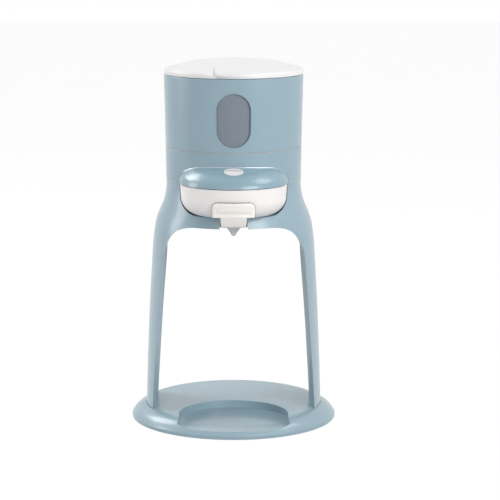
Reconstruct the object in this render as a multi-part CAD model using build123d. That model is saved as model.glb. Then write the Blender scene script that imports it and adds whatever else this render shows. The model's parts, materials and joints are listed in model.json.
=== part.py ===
"""Countertop baby formula maker: a water tank on a round tower, carried by two curved legs over a
bottle bay, with a pull-out powder drawer and a spout on the front of the tower.

Millimetres. +Z is up, the front faces -Y, and the origin is on the tower's axis at the level that
the rubber feet stand on.
"""

import os
from math import asin, cos, hypot, radians, sin, sqrt

from build123d import *

# ------------------------------------------------------------------ driving dimensions
# gaps and play
PART_GAP = 0.3          # between two pieces that come apart
RUN_GAP = 0.6           # round a piece that slides in an opening
SCREW_PLAY = 0.2        # round a screw in a through hole
PRESS_PLAY = 0.02       # round a screw in its pilot hole, or a piece in a push fit
SEAM_EDGE = 0.5         # chamfer along the tower's seams
CUT_OVER = 1.0          # how far a cutter runs past the face that it opens
REACH = 400.0           # longer than the machine, for cutters that go right through

# heights of the main levels
BASE_UNDER_Z = 0.6
BASE_TOP_Z = 13.5
ARCH_TOP_Z = 178.0
FRAME_TOP_Z = 214.4
HOUSING_TOP_Z = 241.4
SLEEVE_TOP_Z = 304.3

# base
BASE_RADIUS = 90.0
RIM_TOP_Z = 3.5         # the rim is upright up to here
RIM_EDGE = 0.4
PLATEAU_RADIUS = 73.5
SKIRT_BULGE = 2.5       # how far the skirt stands out from a straight slope
BASE_WALL = 2.6
SEAT_RADIUS = 47.5      # the hollow that a bottle stands in
SEAT_Y = -50.0
SEAT_FLOOR_Z = 5.5
SEAT_FLOOR_WALL = 2.4
SEAT_FLAT_RADIUS = 38.0     # the floor is flat up to here and curves up further out
SEAT_RAMP_RADIUS = 58.0     # where the curved floor would reach the plateau's level
SEAT_OPEN_Y = -57.0     # where the seat's round wall ends and its open front begins
SEAT_OPEN_SLOPE = 0.12  # how much the open front widens per millimetre
LIP_START_RADIUS = 62.0     # the floor rises from here to the front edge
LIP_RADIUS = 86.0
LIP_RISE = 1.5
BASE_COVER_INSET = 6.0
BASE_COVER_THICK = 2.0
FOOT_RADIUS = 7.0
FOOT_HEIGHT = 1.6
FOOT_EDGE = 0.5
FOOT_CIRCLE = 66.0
FOOT_TURNS = (50, 130, 230, 310)
COVER_SCREW_CIRCLE = 62.0
COVER_SCREW_TURNS = (65, 115, 205, 335)
COVER_SCREW_GRIP = 6.0      # length of the screw above the plate

# leg frame
LEG_WALL = 5.5
SHOULDER_WALL = 3.2
SHOULDER_BLEND = 30.0   # height over which the wall thins from leg to shoulder
SHOULDER_BLEND_DROP = 64.4  # from the frame's top down to where that starts
LEG_SOCKET_Z = 10.0
LEG_SOCKET_RIM = 3.0    # material round the leg's foot
LEG_SOCKET_HALF = 35.0  # half width of that material along Y
LEG_SCREW_TURN = 11.5   # degrees either side of the leg's middle
LEG_SCREW_GRIP = 16.0       # length of the screw in the leg
LEG_FOOT_RADIUS = 77.4
LEG_CURVE = ((1.2, 40.0), (3.5, 94.0), (6.0, 137.0), (8.0, 159.0))  # inwards, up from the foot
SHOULDER_CURVE = ((7.4, 32.4), (3.1, 22.4), (0.6, 13.4))    # out from the tower, down from its seam
ARCH_FOOT_HALF = 70.9   # half width of the arch at the base
ARCH_SPRING_HALF = 59.6
ARCH_SPRING_DROP = 32.0     # from the arch's top down to where its corners start
ARCH_CORNER = 32.0
ARCH_FLARE = 0.006      # growth of the arch's width per millimetre away from the axis
ARCH_FLARE_Y = 30.0     # the widths above are those at this distance from the axis

# tower
TOWER_TOP_RADIUS = 60.5
TANK_TAPER = 1.3        # loss of radius from the tank's top down to its seam
HOUSING_TAPER = 0.3     # loss of radius from that seam down to the frame
HOUSING_WALL = 2.5
DECK_THICK = 2.4
DECK_DROP = 2.4         # deck surface below the housing's upper edge

# water tank
SLEEVE_WALL = 2.2
LINER_WALL = 1.8
LINER_RIM_DROP = 0.4
WINDOW_WIDTH = 28.5
WINDOW_HEIGHT = 45.6
WINDOW_DROP = 35.4      # from the sleeve's top down to the window's middle
WINDOW_EDGE = 0.6       # bevel round the window
LID_RIM_HEIGHT = 3.0
LID_DOME_HEIGHT = 9.7
LID_EDGE = 0.9          # rounding between rim and dome
LID_WALL = 2.2
LID_PLUG_DEPTH = 6.5
SEAL_THICK = 0.7
SEAL_HEIGHT = 2.0
LID_LOW_EDGE = 0.4
GRIP_FOLD_X = -15.5     # the fold in the lid's front edge, where a finger lifts it
GRIP_FOLD_REACH = 18.5  # how far the fold runs in from the lid's edge
GRIP_DIP = 1.5          # how far the edge lies back on the fold's left
GRIP_DIP_RUN = (-13.5, 3.7)     # plan direction in which that dip runs out
GRIP_NOTCH = 3.0        # how far a finger gets under the edge on the fold's right
GRIP_NOTCH_HEIGHT = 1.3
GRIP_NOTCH_RUN = (24.5, -4.3)   # plan direction in which that notch runs out

# head: drawer bowl, cap, button and spout
HEAD_Y = -39.5
BOWL_RADIUS = 45.9
BOWL_DRAFT = 0.7
BOWL_FLOOR_Z = 188.0
BOWL_CORNER = 15.0
BOWL_WALL = 2.2
BOWL_DISH = 0.9         # how much the floor falls towards its middle
CAP_OVERHANG = 0.6      # cap beyond the bowl
CAP_HEIGHT = 17.4
CAP_TILT = 5.2          # degrees that the cap's crown leans forwards
CAP_RIM_HEIGHT = 1.0
CAP_CURVE = (           # in from the rim, down from the crown
    (27.1, 0.6), (16.7, 2.0), (10.5, 3.6), (5.0, 7.0), (1.6, 10.6))
CAP_WALL = 2.2
CAP_BACK_Y = -30.0
BUTTON_Y = -69.5
BUTTON_WIDTH = 16.5
BUTTON_DEPTH = 13.0
BUTTON_PROUD = 0.6
BUTTON_TRAVEL = 1.2
BUTTON_GROOVE = 0.5     # width and depth of the line across the button
BUTTON_REST = 0.1       # more than the travel, so that the button stops above its switch
BUTTON_FLANGE = 1.5     # flange beyond the button, each side
BUTTON_FLANGE_THICK = 1.2
PAD_WIDTH = 35.5
PAD_TOP_Z = 203.0
PAD_BOTTOM_Z = 190.6
PAD_PROUD = 2.4
PAD_CORNER = 4.6
PAD_EDGE = 1.4          # rounding of the pad's front edges
PAD_BACK = 20.0         # how far behind the head's axis plane the pad's root ends
PAD_GROOVE_RADIUS = 9.0     # finger groove across the pad
PAD_GROOVE_DEPTH = 0.8
STEM_WIDTH = 22.6
STEM_TIP_WIDTH = 20.4
STEM_PROUD = 1.4
STEM_FRONT_Y = -84.0    # front of the stem at its lower end
STEM_LOW_Z = 181.9      # lower end of the stem's front
STEM_UNDER_Y = -56.0    # the stem's underside rises from here to its front
STEM_BACK_Y = -28.0
STEM_BOTTOM_Z = 179.2
STEM_HEEL = 1.6         # chamfer at the stem's lower front edge
STEM_EDGE = 1.2
NOZZLE_Y = -41.0
NOZZLE_RADIUS = 9.8
NOZZLE_TIP_Z = 168.3
NOZZLE_TIP_RADIUS = 1.6
NOZZLE_HOLE = 0.9
NOZZLE_FLANGE = 0.8
NOZZLE_PLUG_RADIUS = 6.0
NOZZLE_PLUG_HEIGHT = 4.0
MILK_BORE = 3.0

# floor under the drawer, ceiling and splash wall round it
SHELF_THICK = 3.0
CEILING_THICK = 2.0
BAY_PLAY = 1.3          # between the bowl and the splash wall behind it
BAY_WALL = 1.5
SHOWER_RADIUS = 12.0
SHOWER_COLLAR = 2.0
SHOWER_COLLAR_THICK = 1.4
SHOWER_NECK_RADIUS = 6.0
JET_RADIUS = 0.8
JET_CIRCLE = 7.5
JET_COUNT = 6

# screws
LONG_SCREW_RADIUS = 1.5
LONG_SCREW_GRIP = 14.0      # length in the housing's bosses
LONG_SCREW_TURNS = (-13, 41, 139, 193)
SCREW_HEAD_RADIUS = 2.9
SCREW_HEAD_HEIGHT = 2.0
BOSS_RADIUS = 3.3
BOSS_OVERLAP = 0.4      # how far the bosses run into the housing's wall
SMALL_SCREW_RADIUS = 1.4
SMALL_HEAD_HEIGHT = 1.1

# water path
VALVE_Y = 26.0
VALVE_SPIGOT_RADIUS = 10.2
VALVE_SPIGOT_WALL = 2.6
VALVE_SPIGOT_DROP = 8.4     # from the housing's top down to the spigot's end
VALVE_FLANGE = 4.0
VALVE_FLANGE_THICK = 1.8
VALVE_SEAT_HOLE = 4.5
VALVE_SEAT_THICK = 2.0
VALVE_LIFT = 3.0
BRIDGE_CLEAR = 4.4
BRIDGE_THICK = 1.8
BRIDGE_HOLE = 1.7
BRIDGE_CIRCLE = 5.2
PLUNGER_STEM_RADIUS = 1.6
PLUNGER_DISC_RADIUS = 6.2
PLUNGER_DISC_THICK = 1.6
PLUNGER_FOOT = 2.0
PLUNGER_HEAD = 4.0
VALVE_SEAL_THICK = 0.9
SPRING_RADIUS = 3.0
SPRING_WIRE = 0.45
SPRING_TURNS = 3.5
SOCKET_RADIUS = 10.8
SOCKET_WALL = 1.8
SOCKET_FLOOR = 2.0
SOCKET_CLEAR = 2.5      # between the spigot's end and the socket's floor
SOCKET_COLLAR = 3.0
SOCKET_COLLAR_THICK = 1.2
SOCKET_PIN_RADIUS = 1.2
INLET_X = 3.6
INLET_LENGTH = 7.0
HOSE_RADIUS = 3.4
HOSE_BORE = 2.2
HOSE_LIFT = 4.9         # height of the outlet hose over the ceiling
SPIGOT_RADIUS = 2.2
SPIGOT_BORE = 1.2
SPIGOT_REACH = 8.0
HOSE_PUSH = 5.0         # how far a hose goes over its spigot
HOSE_BEND = 5.0
HOSE_TIGHT_BEND = 4.0
HOSE_SIDE = (33.0, -24.0)   # where the outlet hose turns in beside the drawer's ceiling
HOSE_TURN_X = 22.0
PUMP_Z = 201.0
PUMP_HEAD_RADIUS = 12.4
PUMP_HEAD_LENGTH = 14.0
PUMP_INLET_RISE = 6.0
PUMP_OUTLET_SIDE = 9.5
PUMP_OUTLET_LENGTH = 5.5
PUMP_MOTOR_RADIUS = 11.0
PUMP_MOTOR_LENGTH = 29.0
PUMP_MOTOR_EDGE = 1.2
PUMP_BOSS_RADIUS = 3.0
PUMP_BOSS_LENGTH = 1.8
CRADLE_START = 4.0
CRADLE_LENGTH = 18.0
CRADLE_HALF = 9.0
CRADLE_DROP = 3.0
HEATER_Y = 19.5
HEATER_RADIUS = 9.0
HEATER_START_X = 12.5
HEATER_LENGTH = 34.0
HEATER_FLAT = 0.8       # depth of the flat that the cut-outs sit on
HEATER_CAP = 0.8
HEATER_CAP_LENGTH = 3.0
HEATER_PORT = 8.0       # from either end to its port
CLAMP_STARTS = (9.0, 21.0)
CLAMP_WIDTH = 4.0
CLAMP_HALF = 8.0
CLAMP_DROP = 2.0
CUTOUT_RADIUS = 4.6
CUTOUT_HEIGHT = 3.2
CUTOUT_PLACES = (7.8, 17.5)
SENSOR_RADIUS = 2.2
SENSOR_LENGTH = 4.0
SENSOR_RISE = 3.0

# electronics and cable entry
BOARD_THICK = 1.6
BOARD_SIZE = (58.0, 34.0)
BOARD_Y = -6.0
BOARD_DROP = 6.0        # from the deck's underside down to the board
BOARD_POST_RADIUS = 2.6
BOARD_POST_INSET = 4.0
RELAY = (-16.0, -2.0, 16.0, 12.0, 9.0)         # x, y from the board's middle, width, depth, height
TRANSFORMER = (3.0, -0.5, 14.0, 13.0, 10.0)
CAPACITOR = (18.0, 0.0, 4.0, 9.0)              # x, y, radius, height
BUTTON_BOARD_SIZE = (23.0, 15.0)
BUTTON_BOARD_SHIFT = 1.0
BUTTON_BOARD_CLEAR = 1.3
BUTTON_POST_RADIUS = 1.6
BUTTON_POST_INSET = 2.5
SWITCH_SIZE = 6.0
SWITCH_CAN_HEIGHT = 1.4
SWITCH_HEIGHT = 2.2
SWITCH_STEM_RADIUS = 1.6
TERMINAL_X = -26.0
TERMINAL_Y = 27.0
TERMINAL_SIZE = (18.0, 10.0, 9.0)
TERMINAL_PITCH = 5.5
TERMINAL_HOLE = 1.8
CABLE_Z = 222.5
CABLE_RADIUS = 3.5
GLAND_RADIUS = 6.0
GLAND_FLANGE = 8.2
GLAND_DEPTH = 7.0       # from the tower's surface inwards
GLAND_PROUD = 2.4

# ------------------------------------------------------------------ derived sizes
# base
cover_top = BASE_UNDER_Z + BASE_COVER_THICK
cover_radius = BASE_RADIUS - BASE_COVER_INSET
base_inner_top = BASE_TOP_Z - BASE_WALL
cover_screw_under = BASE_UNDER_Z + SCREW_PLAY / 2
cover_screw_seat = cover_screw_under + SMALL_HEAD_HEIGHT
cover_screw_tip = cover_top + COVER_SCREW_GRIP
seat_ramp_run = SEAT_RAMP_RADIUS - SEAT_FLAT_RADIUS
seat_ramp_rise = BASE_TOP_Z - SEAT_FLOOR_Z
seat_ramp_curve = hypot(seat_ramp_run, seat_ramp_rise) ** 2 / (2 * seat_ramp_rise)
leg_middle_radius = LEG_FOOT_RADIUS - LEG_WALL / 2
leg_screw_tip = LEG_SOCKET_Z + LEG_SCREW_GRIP

# tower and tank
tower_seam_radius = TOWER_TOP_RADIUS - TANK_TAPER
tower_low_radius = tower_seam_radius - HOUSING_TAPER
housing_inner = tower_low_radius - HOUSING_WALL
deck_top = HOUSING_TOP_Z - DECK_DROP
deck_under = deck_top - DECK_THICK
sleeve_bottom = HOUSING_TOP_Z + PART_GAP
liner_inset = SLEEVE_WALL + PRESS_PLAY
liner_floor_top = sleeve_bottom + LINER_WALL
liner_rim = SLEEVE_TOP_Z - LINER_RIM_DROP
lid_bottom = SLEEVE_TOP_Z + PART_GAP
lid_rim_top = lid_bottom + LID_RIM_HEIGHT
lid_top = lid_rim_top + LID_DOME_HEIGHT
lid_plug_low = SLEEVE_TOP_Z - LID_PLUG_DEPTH
lid_plug_radius = TOWER_TOP_RADIUS - liner_inset - LINER_WALL - SEAL_THICK - 2 * PART_GAP
dome_radius = (TOWER_TOP_RADIUS ** 2 + LID_DOME_HEIGHT ** 2) / (2 * LID_DOME_HEIGHT)
dome_centre_z = lid_top - dome_radius

# drawer, shelf and ceiling
bowl_top = FRAME_TOP_Z - 2 * PART_GAP
bowl_floor_top = BOWL_FLOOR_Z + BOWL_WALL
head_radius = BOWL_RADIUS + CAP_OVERHANG
shelf_top = BOWL_FLOOR_Z - PART_GAP
shelf_under = shelf_top - SHELF_THICK
ceiling_top = FRAME_TOP_Z + CEILING_THICK
stem_notch = STEM_WIDTH / 2 + RUN_GAP
nozzle_plug_top = STEM_BOTTOM_Z + NOZZLE_PLUG_HEIGHT
long_screw_tip = ceiling_top + LONG_SCREW_GRIP
long_screw_circle = housing_inner - BOSS_RADIUS + BOSS_OVERLAP

# button
button_board_under = ceiling_top + BUTTON_BOARD_CLEAR
button_board_top = button_board_under + BOARD_THICK
switch_top = button_board_top + SWITCH_HEIGHT
button_low = switch_top + BUTTON_TRAVEL + BUTTON_REST

# valve, from the bottom up
spigot_bottom = HOUSING_TOP_Z - VALVE_SPIGOT_DROP
socket_floor_top = spigot_bottom - SOCKET_CLEAR
socket_floor_under = socket_floor_top - SOCKET_FLOOR
socket_outer = SOCKET_RADIUS + SOCKET_WALL
valve_seat_top = spigot_bottom + VALVE_SEAT_THICK
valve_seal_under = valve_seat_top + VALVE_LIFT
valve_disc_under = valve_seal_under + VALVE_SEAL_THICK
valve_disc_top = valve_disc_under + PLUNGER_DISC_THICK
plunger_foot = valve_seal_under - PLUNGER_FOOT
bridge_under = liner_floor_top + BRIDGE_CLEAR
bridge_top = bridge_under + BRIDGE_THICK

# pump, heater and hoses
pump_front = PUMP_HEAD_LENGTH / 2
motor_start = -pump_front - PUMP_MOTOR_LENGTH
pump_inlet_top = PUMP_Z + PUMP_HEAD_RADIUS + PUMP_INLET_RISE
pump_outlet_y = VALVE_Y + PUMP_OUTLET_SIDE
pump_outlet_end = pump_front + PUMP_OUTLET_LENGTH
heater_end = HEATER_START_X + HEATER_LENGTH
heater_in_x = HEATER_START_X + HEATER_PORT
heater_out_x = heater_end - HEATER_PORT
heater_flat_z = PUMP_Z + HEATER_RADIUS - HEATER_FLAT
heater_cap_radius = HEATER_RADIUS + HEATER_CAP
hose_z = ceiling_top + HOSE_LIFT

# boards
board_top = deck_under - BOARD_DROP
board_under = board_top - BOARD_THICK


# ------------------------------------------------------------------ helpers
def turned(points):
    """Solid of revolution about Z from a closed (radius, height) outline."""
    outline = Polyline([(r, 0, z) for r, z in points], close=True)
    return revolve(make_face(outline), Axis.Z)


def turned_edges(*edges):
    """Solid of revolution about Z from edges that already close an outline in the XZ plane."""
    return revolve(make_face(Curve() + list(edges)), Axis.Z)


def bulged(high, low, bulge):
    """Arc between two (radius, height) points that stands out from their straight line."""
    run, rise = low[0] - high[0], high[1] - low[1]
    length = hypot(run, rise)
    middle = ((high[0] + low[0]) / 2 + bulge * rise / length, 0,
              (high[1] + low[1]) / 2 + bulge * run / length)
    return ThreePointArc((high[0], 0, high[1]), middle, (low[0], 0, low[1]))


def moved_in(points, inset):
    """An outline's (radius, height) points, moved at right angles to it towards the inside."""
    moved = []
    for before, point, after in zip(points[:1] + points, points, points[1:] + points[-1:]):
        run, rise = after[0] - before[0], after[1] - before[1]
        length = hypot(run, rise)
        moved.append((point[0] + inset * rise / length, point[1] - inset * run / length))
    return moved


def rod(radius, z_low, z_high, x=0.0, y=0.0):
    """Upright cylinder between two heights."""
    height = z_high - z_low
    return Pos(x, y, z_low + height / 2) * Cylinder(radius, height)


def bore(radius, x=0.0, y=0.0):
    """Upright cutter that goes right through."""
    return rod(radius, -REACH, REACH, x, y)


def tube(outer, inner, z_low, z_high, x=0.0, y=0.0):
    """Upright hollow cylinder between two heights."""
    return rod(outer, z_low, z_high, x, y) - bore(inner, x, y)


def rod_x(radius, x_low, x_high, y, z):
    """Cylinder lying along X."""
    length = x_high - x_low
    return Pos(x_low + length / 2, y, z) * Rot(0, 90, 0) * Cylinder(radius, length)


def rod_y(radius, y_low, y_high, x, z):
    """Cylinder lying along Y."""
    length = y_high - y_low
    return Pos(x, y_low + length / 2, z) * Rot(90, 0, 0) * Cylinder(radius, length)


def block(x_low, x_high, y_low, y_high, z_low, z_high):
    """Box between its two corners."""
    middle = Pos((x_low + x_high) / 2, (y_low + y_high) / 2, (z_low + z_high) / 2)
    return middle * Box(x_high - x_low, y_high - y_low, z_high - z_low)


def front_of(y):
    """All space in front of one Y."""
    return block(-REACH, REACH, -REACH, y, -REACH, REACH)


def behind(y):
    """All space behind one Y."""
    return block(-REACH, REACH, y, REACH, -REACH, REACH)


def layer(z_low, z_high):
    """All space between two heights."""
    return block(-REACH, REACH, -REACH, REACH, z_low, z_high)


def along_y(face, y_front, y_back):
    """Extrude a face drawn on the XZ plane from one Y to another."""
    return extrude(Pos(0, y_back, 0) * face, amount=y_back - y_front, dir=(0, -1, 0))


def oval(width, depth, z_low, z_high, y):
    """Upright oval prism, longest along X."""
    outline = Pos(0, y, z_low) * Ellipse(width / 2, depth / 2)
    return extrude(outline, amount=z_high - z_low)


def on_circle(radius, turns, y=0.0):
    """Places on a circle about an upright axis, at turns in degrees from +X."""
    return [(radius * cos(radians(turn)), y + radius * sin(radians(turn))) for turn in turns]


def corners_of(half_x, half_y, y):
    """Four places at the corners of a rectangle about X = 0."""
    return [(sx * half_x, y + sy * half_y) for sx in (1, -1) for sy in (1, -1)]


def screw(x, y, z_head, z_tip, radius):
    """Pan-head screw that points up, its head's underside face at z_head."""
    head = rod(SCREW_HEAD_RADIUS, z_head, z_head + SCREW_HEAD_HEIGHT, x, y)
    return head + rod(radius, z_head, z_tip, x, y)


def hose(points, radius):
    """Hose along straight runs with one bend radius."""
    line = FilletPolyline(points, radius=radius)
    start = Plane(origin=line @ 0, z_dir=line % 0)
    section = start * (Circle(HOSE_RADIUS) - Circle(HOSE_BORE))
    return sweep(section, path=line)


def save(node, shape):
    """Write one node as a STEP file of solids."""
    solids = shape.solids()
    whole = solids[0] if len(solids) == 1 else Compound(children=list(solids))
    export_step(whole, f"parts/{node}.step")


# ------------------------------------------------------------------ places
leg_screw_spots = on_circle(
    leg_middle_radius,
    (LEG_SCREW_TURN, -LEG_SCREW_TURN, 180 - LEG_SCREW_TURN, 180 + LEG_SCREW_TURN))
cover_screw_spots = on_circle(COVER_SCREW_CIRCLE, COVER_SCREW_TURNS)
foot_spots = on_circle(FOOT_CIRCLE, FOOT_TURNS)
long_screw_spots = on_circle(long_screw_circle, LONG_SCREW_TURNS)
board_post_spots = corners_of(
    BOARD_SIZE[0] / 2 - BOARD_POST_INSET, BOARD_SIZE[1] / 2 - BOARD_POST_INSET, BOARD_Y)
button_post_spots = corners_of(
    BUTTON_BOARD_SIZE[0] / 2 - BUTTON_POST_INSET, BUTTON_BOARD_SIZE[1] / 2 - BUTTON_POST_INSET,
    BUTTON_Y + BUTTON_BOARD_SHIFT)


# ------------------------------------------------------------------ base
def base_body(edge_radius, edge_z, bulge):
    """Round body with an upright rim and a convex slope from there to a flat top."""
    return turned_edges(
        bulged((edge_radius, edge_z), (BASE_RADIUS, RIM_TOP_Z), bulge),
        Polyline((BASE_RADIUS, 0, RIM_TOP_Z), (BASE_RADIUS, 0, BASE_UNDER_Z + RIM_EDGE),
                 (BASE_RADIUS - RIM_EDGE, 0, BASE_UNDER_Z), (0, 0, BASE_UNDER_Z),
                 (0, 0, edge_z), (edge_radius, 0, edge_z)))


def seat_space(grow=0.0):
    """Space over the bottle seat: a dished floor, a wall round the back, open at the front."""
    low, curve = SEAT_FLOOR_Z - grow, seat_ramp_curve + grow
    centre_z = SEAT_FLOOR_Z + seat_ramp_curve
    end = SEAT_FLAT_RADIUS + sqrt(curve ** 2 - (centre_z - BASE_TOP_Z) ** 2)
    half_turn = asin((end - SEAT_FLAT_RADIUS) / curve) / 2
    middle = (SEAT_FLAT_RADIUS + curve * sin(half_turn), 0, centre_z - curve * cos(half_turn))
    high = BASE_TOP_Z + CUT_OVER
    dish = turned_edges(
        Line((0, 0, low), (SEAT_FLAT_RADIUS, 0, low)),
        ThreePointArc((SEAT_FLAT_RADIUS, 0, low), middle, (end, 0, BASE_TOP_Z)),
        Polyline((end, 0, BASE_TOP_Z), (end, 0, high), (0, 0, high), (0, 0, low)))
    open_y = SEAT_OPEN_Y - SEAT_Y
    near = sqrt((SEAT_RADIUS + grow) ** 2 - open_y ** 2)
    far = near + REACH * SEAT_OPEN_SLOPE
    plan = Circle(SEAT_RADIUS + grow) + make_face(Polyline(
        (-near, open_y), (near, open_y), (far, open_y - REACH), (-far, open_y - REACH),
        close=True))
    return Pos(0, SEAT_Y, 0) * (dish & extrude(plan, amount=high))


def seat_lip():
    """Body under the seat's floor, which rises towards the base's front edge."""
    end = BASE_RADIUS + CUT_OVER
    end_z = SEAT_FLOOR_Z + LIP_RISE * (end - LIP_START_RADIUS) / (LIP_RADIUS - LIP_START_RADIUS)
    return turned([(0, 0), (end, 0), (end, end_z), (LIP_START_RADIUS, SEAT_FLOOR_Z),
                   (0, SEAT_FLOOR_Z)])


def leg_ring(z_low, z_high, play):
    """The two leg feet as ring sectors, cut by the arch, with play on both sides."""
    outer = LEG_FOOT_RADIUS + play
    inner = LEG_FOOT_RADIUS - LEG_WALL - play
    return tube(outer, inner, z_low, z_high) - arch_cutter()


def make_base_shell():
    """Moulded base: plateau, skirt, bottle seat, sockets for the legs, hollow from below."""
    shell = base_body(PLATEAU_RADIUS, BASE_TOP_Z, SKIRT_BULGE) - (seat_space() - seat_lip())

    pocket = cover_radius + SCREW_PLAY
    hollow = turned_edges(
        bulged((PLATEAU_RADIUS - CUT_OVER, base_inner_top), (pocket, RIM_TOP_Z), SKIRT_BULGE),
        Polyline((pocket, 0, RIM_TOP_Z), (pocket, 0, 0), (0, 0, 0), (0, 0, base_inner_top),
                 (PLATEAU_RADIUS - CUT_OVER, 0, base_inner_top)))
    hollow -= seat_space(SEAT_FLOOR_WALL)
    sockets = tube(LEG_FOOT_RADIUS + LEG_SOCKET_RIM, LEG_FOOT_RADIUS - LEG_WALL - LEG_SOCKET_RIM,
                   cover_top, BASE_TOP_Z)
    hollow -= sockets - front_of(-LEG_SOCKET_HALF) - behind(LEG_SOCKET_HALF)
    for x, y in cover_screw_spots:
        hollow -= rod(BOSS_RADIUS + CUT_OVER, cover_top, BASE_TOP_Z, x, y)
    shell -= hollow

    shell -= leg_ring(LEG_SOCKET_Z, BASE_TOP_Z + CUT_OVER, SCREW_PLAY)
    for x, y in leg_screw_spots:
        shell -= rod(LONG_SCREW_RADIUS + SCREW_PLAY, 0, LEG_SOCKET_Z + CUT_OVER, x, y)
        shell -= rod(SCREW_HEAD_RADIUS + SCREW_PLAY, 0, cover_top + SCREW_HEAD_HEIGHT, x, y)
    for x, y in cover_screw_spots:
        shell -= rod(SMALL_SCREW_RADIUS + PRESS_PLAY, 0, cover_screw_tip + CUT_OVER, x, y)
    return shell


def make_base_bottom_plate():
    """Flat plate that closes the base from below, with pockets for the rubber feet."""
    plate = rod(cover_radius, BASE_UNDER_Z, cover_top)
    for x, y in foot_spots:
        plate -= rod(FOOT_RADIUS, 0, FOOT_HEIGHT, x, y)
    for x, y in cover_screw_spots:
        plate -= bore(SMALL_SCREW_RADIUS + SCREW_PLAY, x, y)
        plate -= rod(SCREW_HEAD_RADIUS, 0, cover_screw_seat, x, y)
    return plate


def make_rubber_feet():
    """Four rubber discs, the only thing that touches the worktop."""
    feet = [rod(FOOT_RADIUS, 0, FOOT_HEIGHT, x, y) for x, y in foot_spots]
    return Compound(children=[
        chamfer(foot.edges().group_by(Axis.Z)[0], FOOT_EDGE) for foot in feet])


def make_base_screws():
    """Four screws that hold the bottom plate."""
    screws = []
    for x, y in cover_screw_spots:
        head = rod(SCREW_HEAD_RADIUS - SCREW_PLAY / 2, cover_screw_under, cover_screw_seat, x, y)
        screws.append(head + rod(SMALL_SCREW_RADIUS, cover_screw_under, cover_screw_tip, x, y))
    return Compound(children=screws)


def make_leg_screws():
    """Four screws that hold the legs in their sockets, two in each leg."""
    return Compound(children=[
        screw(x, y, cover_top, leg_screw_tip, LONG_SCREW_RADIUS) for x, y in leg_screw_spots])


# ------------------------------------------------------------------ leg frame
def frame_curve(inset_low, inset_high):
    """Points of the frame's surface from the leg socket up to the tower, inset by the wall."""
    curve = [(LEG_FOOT_RADIUS, LEG_SOCKET_Z)]
    curve += [(LEG_FOOT_RADIUS - inwards, LEG_SOCKET_Z + up) for inwards, up in LEG_CURVE]
    curve += [(tower_low_radius + out, FRAME_TOP_Z - down) for out, down in SHOULDER_CURVE]
    curve += [(tower_low_radius, FRAME_TOP_Z)]
    points = []
    for radius, z in curve:
        share = (z - FRAME_TOP_Z + SHOULDER_BLEND_DROP) / SHOULDER_BLEND
        share = max(0.0, min(1.0, share))
        points.append((radius - inset_low - (inset_high - inset_low) * share, 0, z))
    return points


def frame_body(inset_low=0.0, inset_high=0.0, z_over=0.0):
    """Solid of revolution under the frame's surface, inset by the wall, longer by z_over."""
    points = frame_curve(inset_low, inset_high)
    low, high = points[0], points[-1]
    corners = [(high[0], 0, high[2] + z_over), (0, 0, high[2] + z_over),
               (0, 0, low[2] - z_over), (low[0], 0, low[2] - z_over)]
    if z_over > 0:
        corners = [high] + corners + [low]
    return turned_edges(Spline(points), Polyline(corners))


def arch_wire(y):
    """Outline of the arch opening at one distance from the axis."""
    grow = 1 + ARCH_FLARE * (abs(y) - ARCH_FLARE_Y)
    foot, spring = ARCH_FOOT_HALF * grow, ARCH_SPRING_HALF * grow
    corner = ARCH_CORNER * grow
    flat = spring - corner
    spring_z = ARCH_TOP_Z - ARCH_SPRING_DROP
    slope = (foot - spring) / (spring_z - BASE_TOP_Z)
    low = BASE_UNDER_Z
    foot_low = foot + slope * (BASE_TOP_Z - low)
    right = EllipticalCenterArc((flat, spring_z), corner, ARCH_SPRING_DROP, 0, arc_size=90)
    left = EllipticalCenterArc((-flat, spring_z), corner, ARCH_SPRING_DROP, 90, arc_size=90)
    outline = Curve() + [
        Line((foot_low, low), (spring, spring_z)), right,
        Line((flat, ARCH_TOP_Z), (-flat, ARCH_TOP_Z)), left,
        Line((-spring, spring_z), (-foot_low, low)), Line((-foot_low, low), (foot_low, low)),
    ]
    return Pos(0, y, 0) * (Plane.XZ * make_face(outline))


def arch_cutter():
    """The arch that opens the frame at the front and the back, wider towards the outside."""
    front = loft([arch_wire(-BASE_RADIUS - CUT_OVER), arch_wire(0)])
    return front + mirror(front, about=Plane.XZ)


def bowl_face(grow=0.0, top_z=bowl_top):
    """Right half of the bowl's outline on the XZ plane, grown by a gap."""
    top_r, side_r = BOWL_RADIUS + grow, BOWL_RADIUS - BOWL_DRAFT + grow
    floor_z, turn_r = BOWL_FLOOR_Z - grow, side_r - BOWL_CORNER
    side_z = floor_z + BOWL_CORNER
    middle = (turn_r + BOWL_CORNER * sin(radians(45)), 0, side_z - BOWL_CORNER * cos(radians(45)))
    return make_face(Curve() + [
        Line((top_r, 0, top_z), (side_r, 0, side_z)),
        ThreePointArc((side_r, 0, side_z), middle, (turn_r, 0, floor_z)),
        Polyline((turn_r, 0, floor_z), (0, 0, floor_z), (0, 0, top_z), (top_r, 0, top_z)),
    ])


def bowl_body():
    """The bowl's outside as a full solid."""
    return Pos(0, HEAD_Y, 0) * revolve(bowl_face(), Axis.Z)


def drawer_opening():
    """Straight opening through the frame's front that the drawer slides in."""
    reach = BASE_RADIUS + CUT_OVER
    right = extrude(bowl_face(RUN_GAP, FRAME_TOP_Z + CUT_OVER), amount=reach, dir=(0, -1, 0))
    opening = right + mirror(right, about=Plane.YZ)
    notch = block(-stem_notch, stem_notch, -reach, HEAD_Y, ARCH_TOP_Z - CUT_OVER, BOWL_FLOOR_Z)
    return opening + notch


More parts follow.
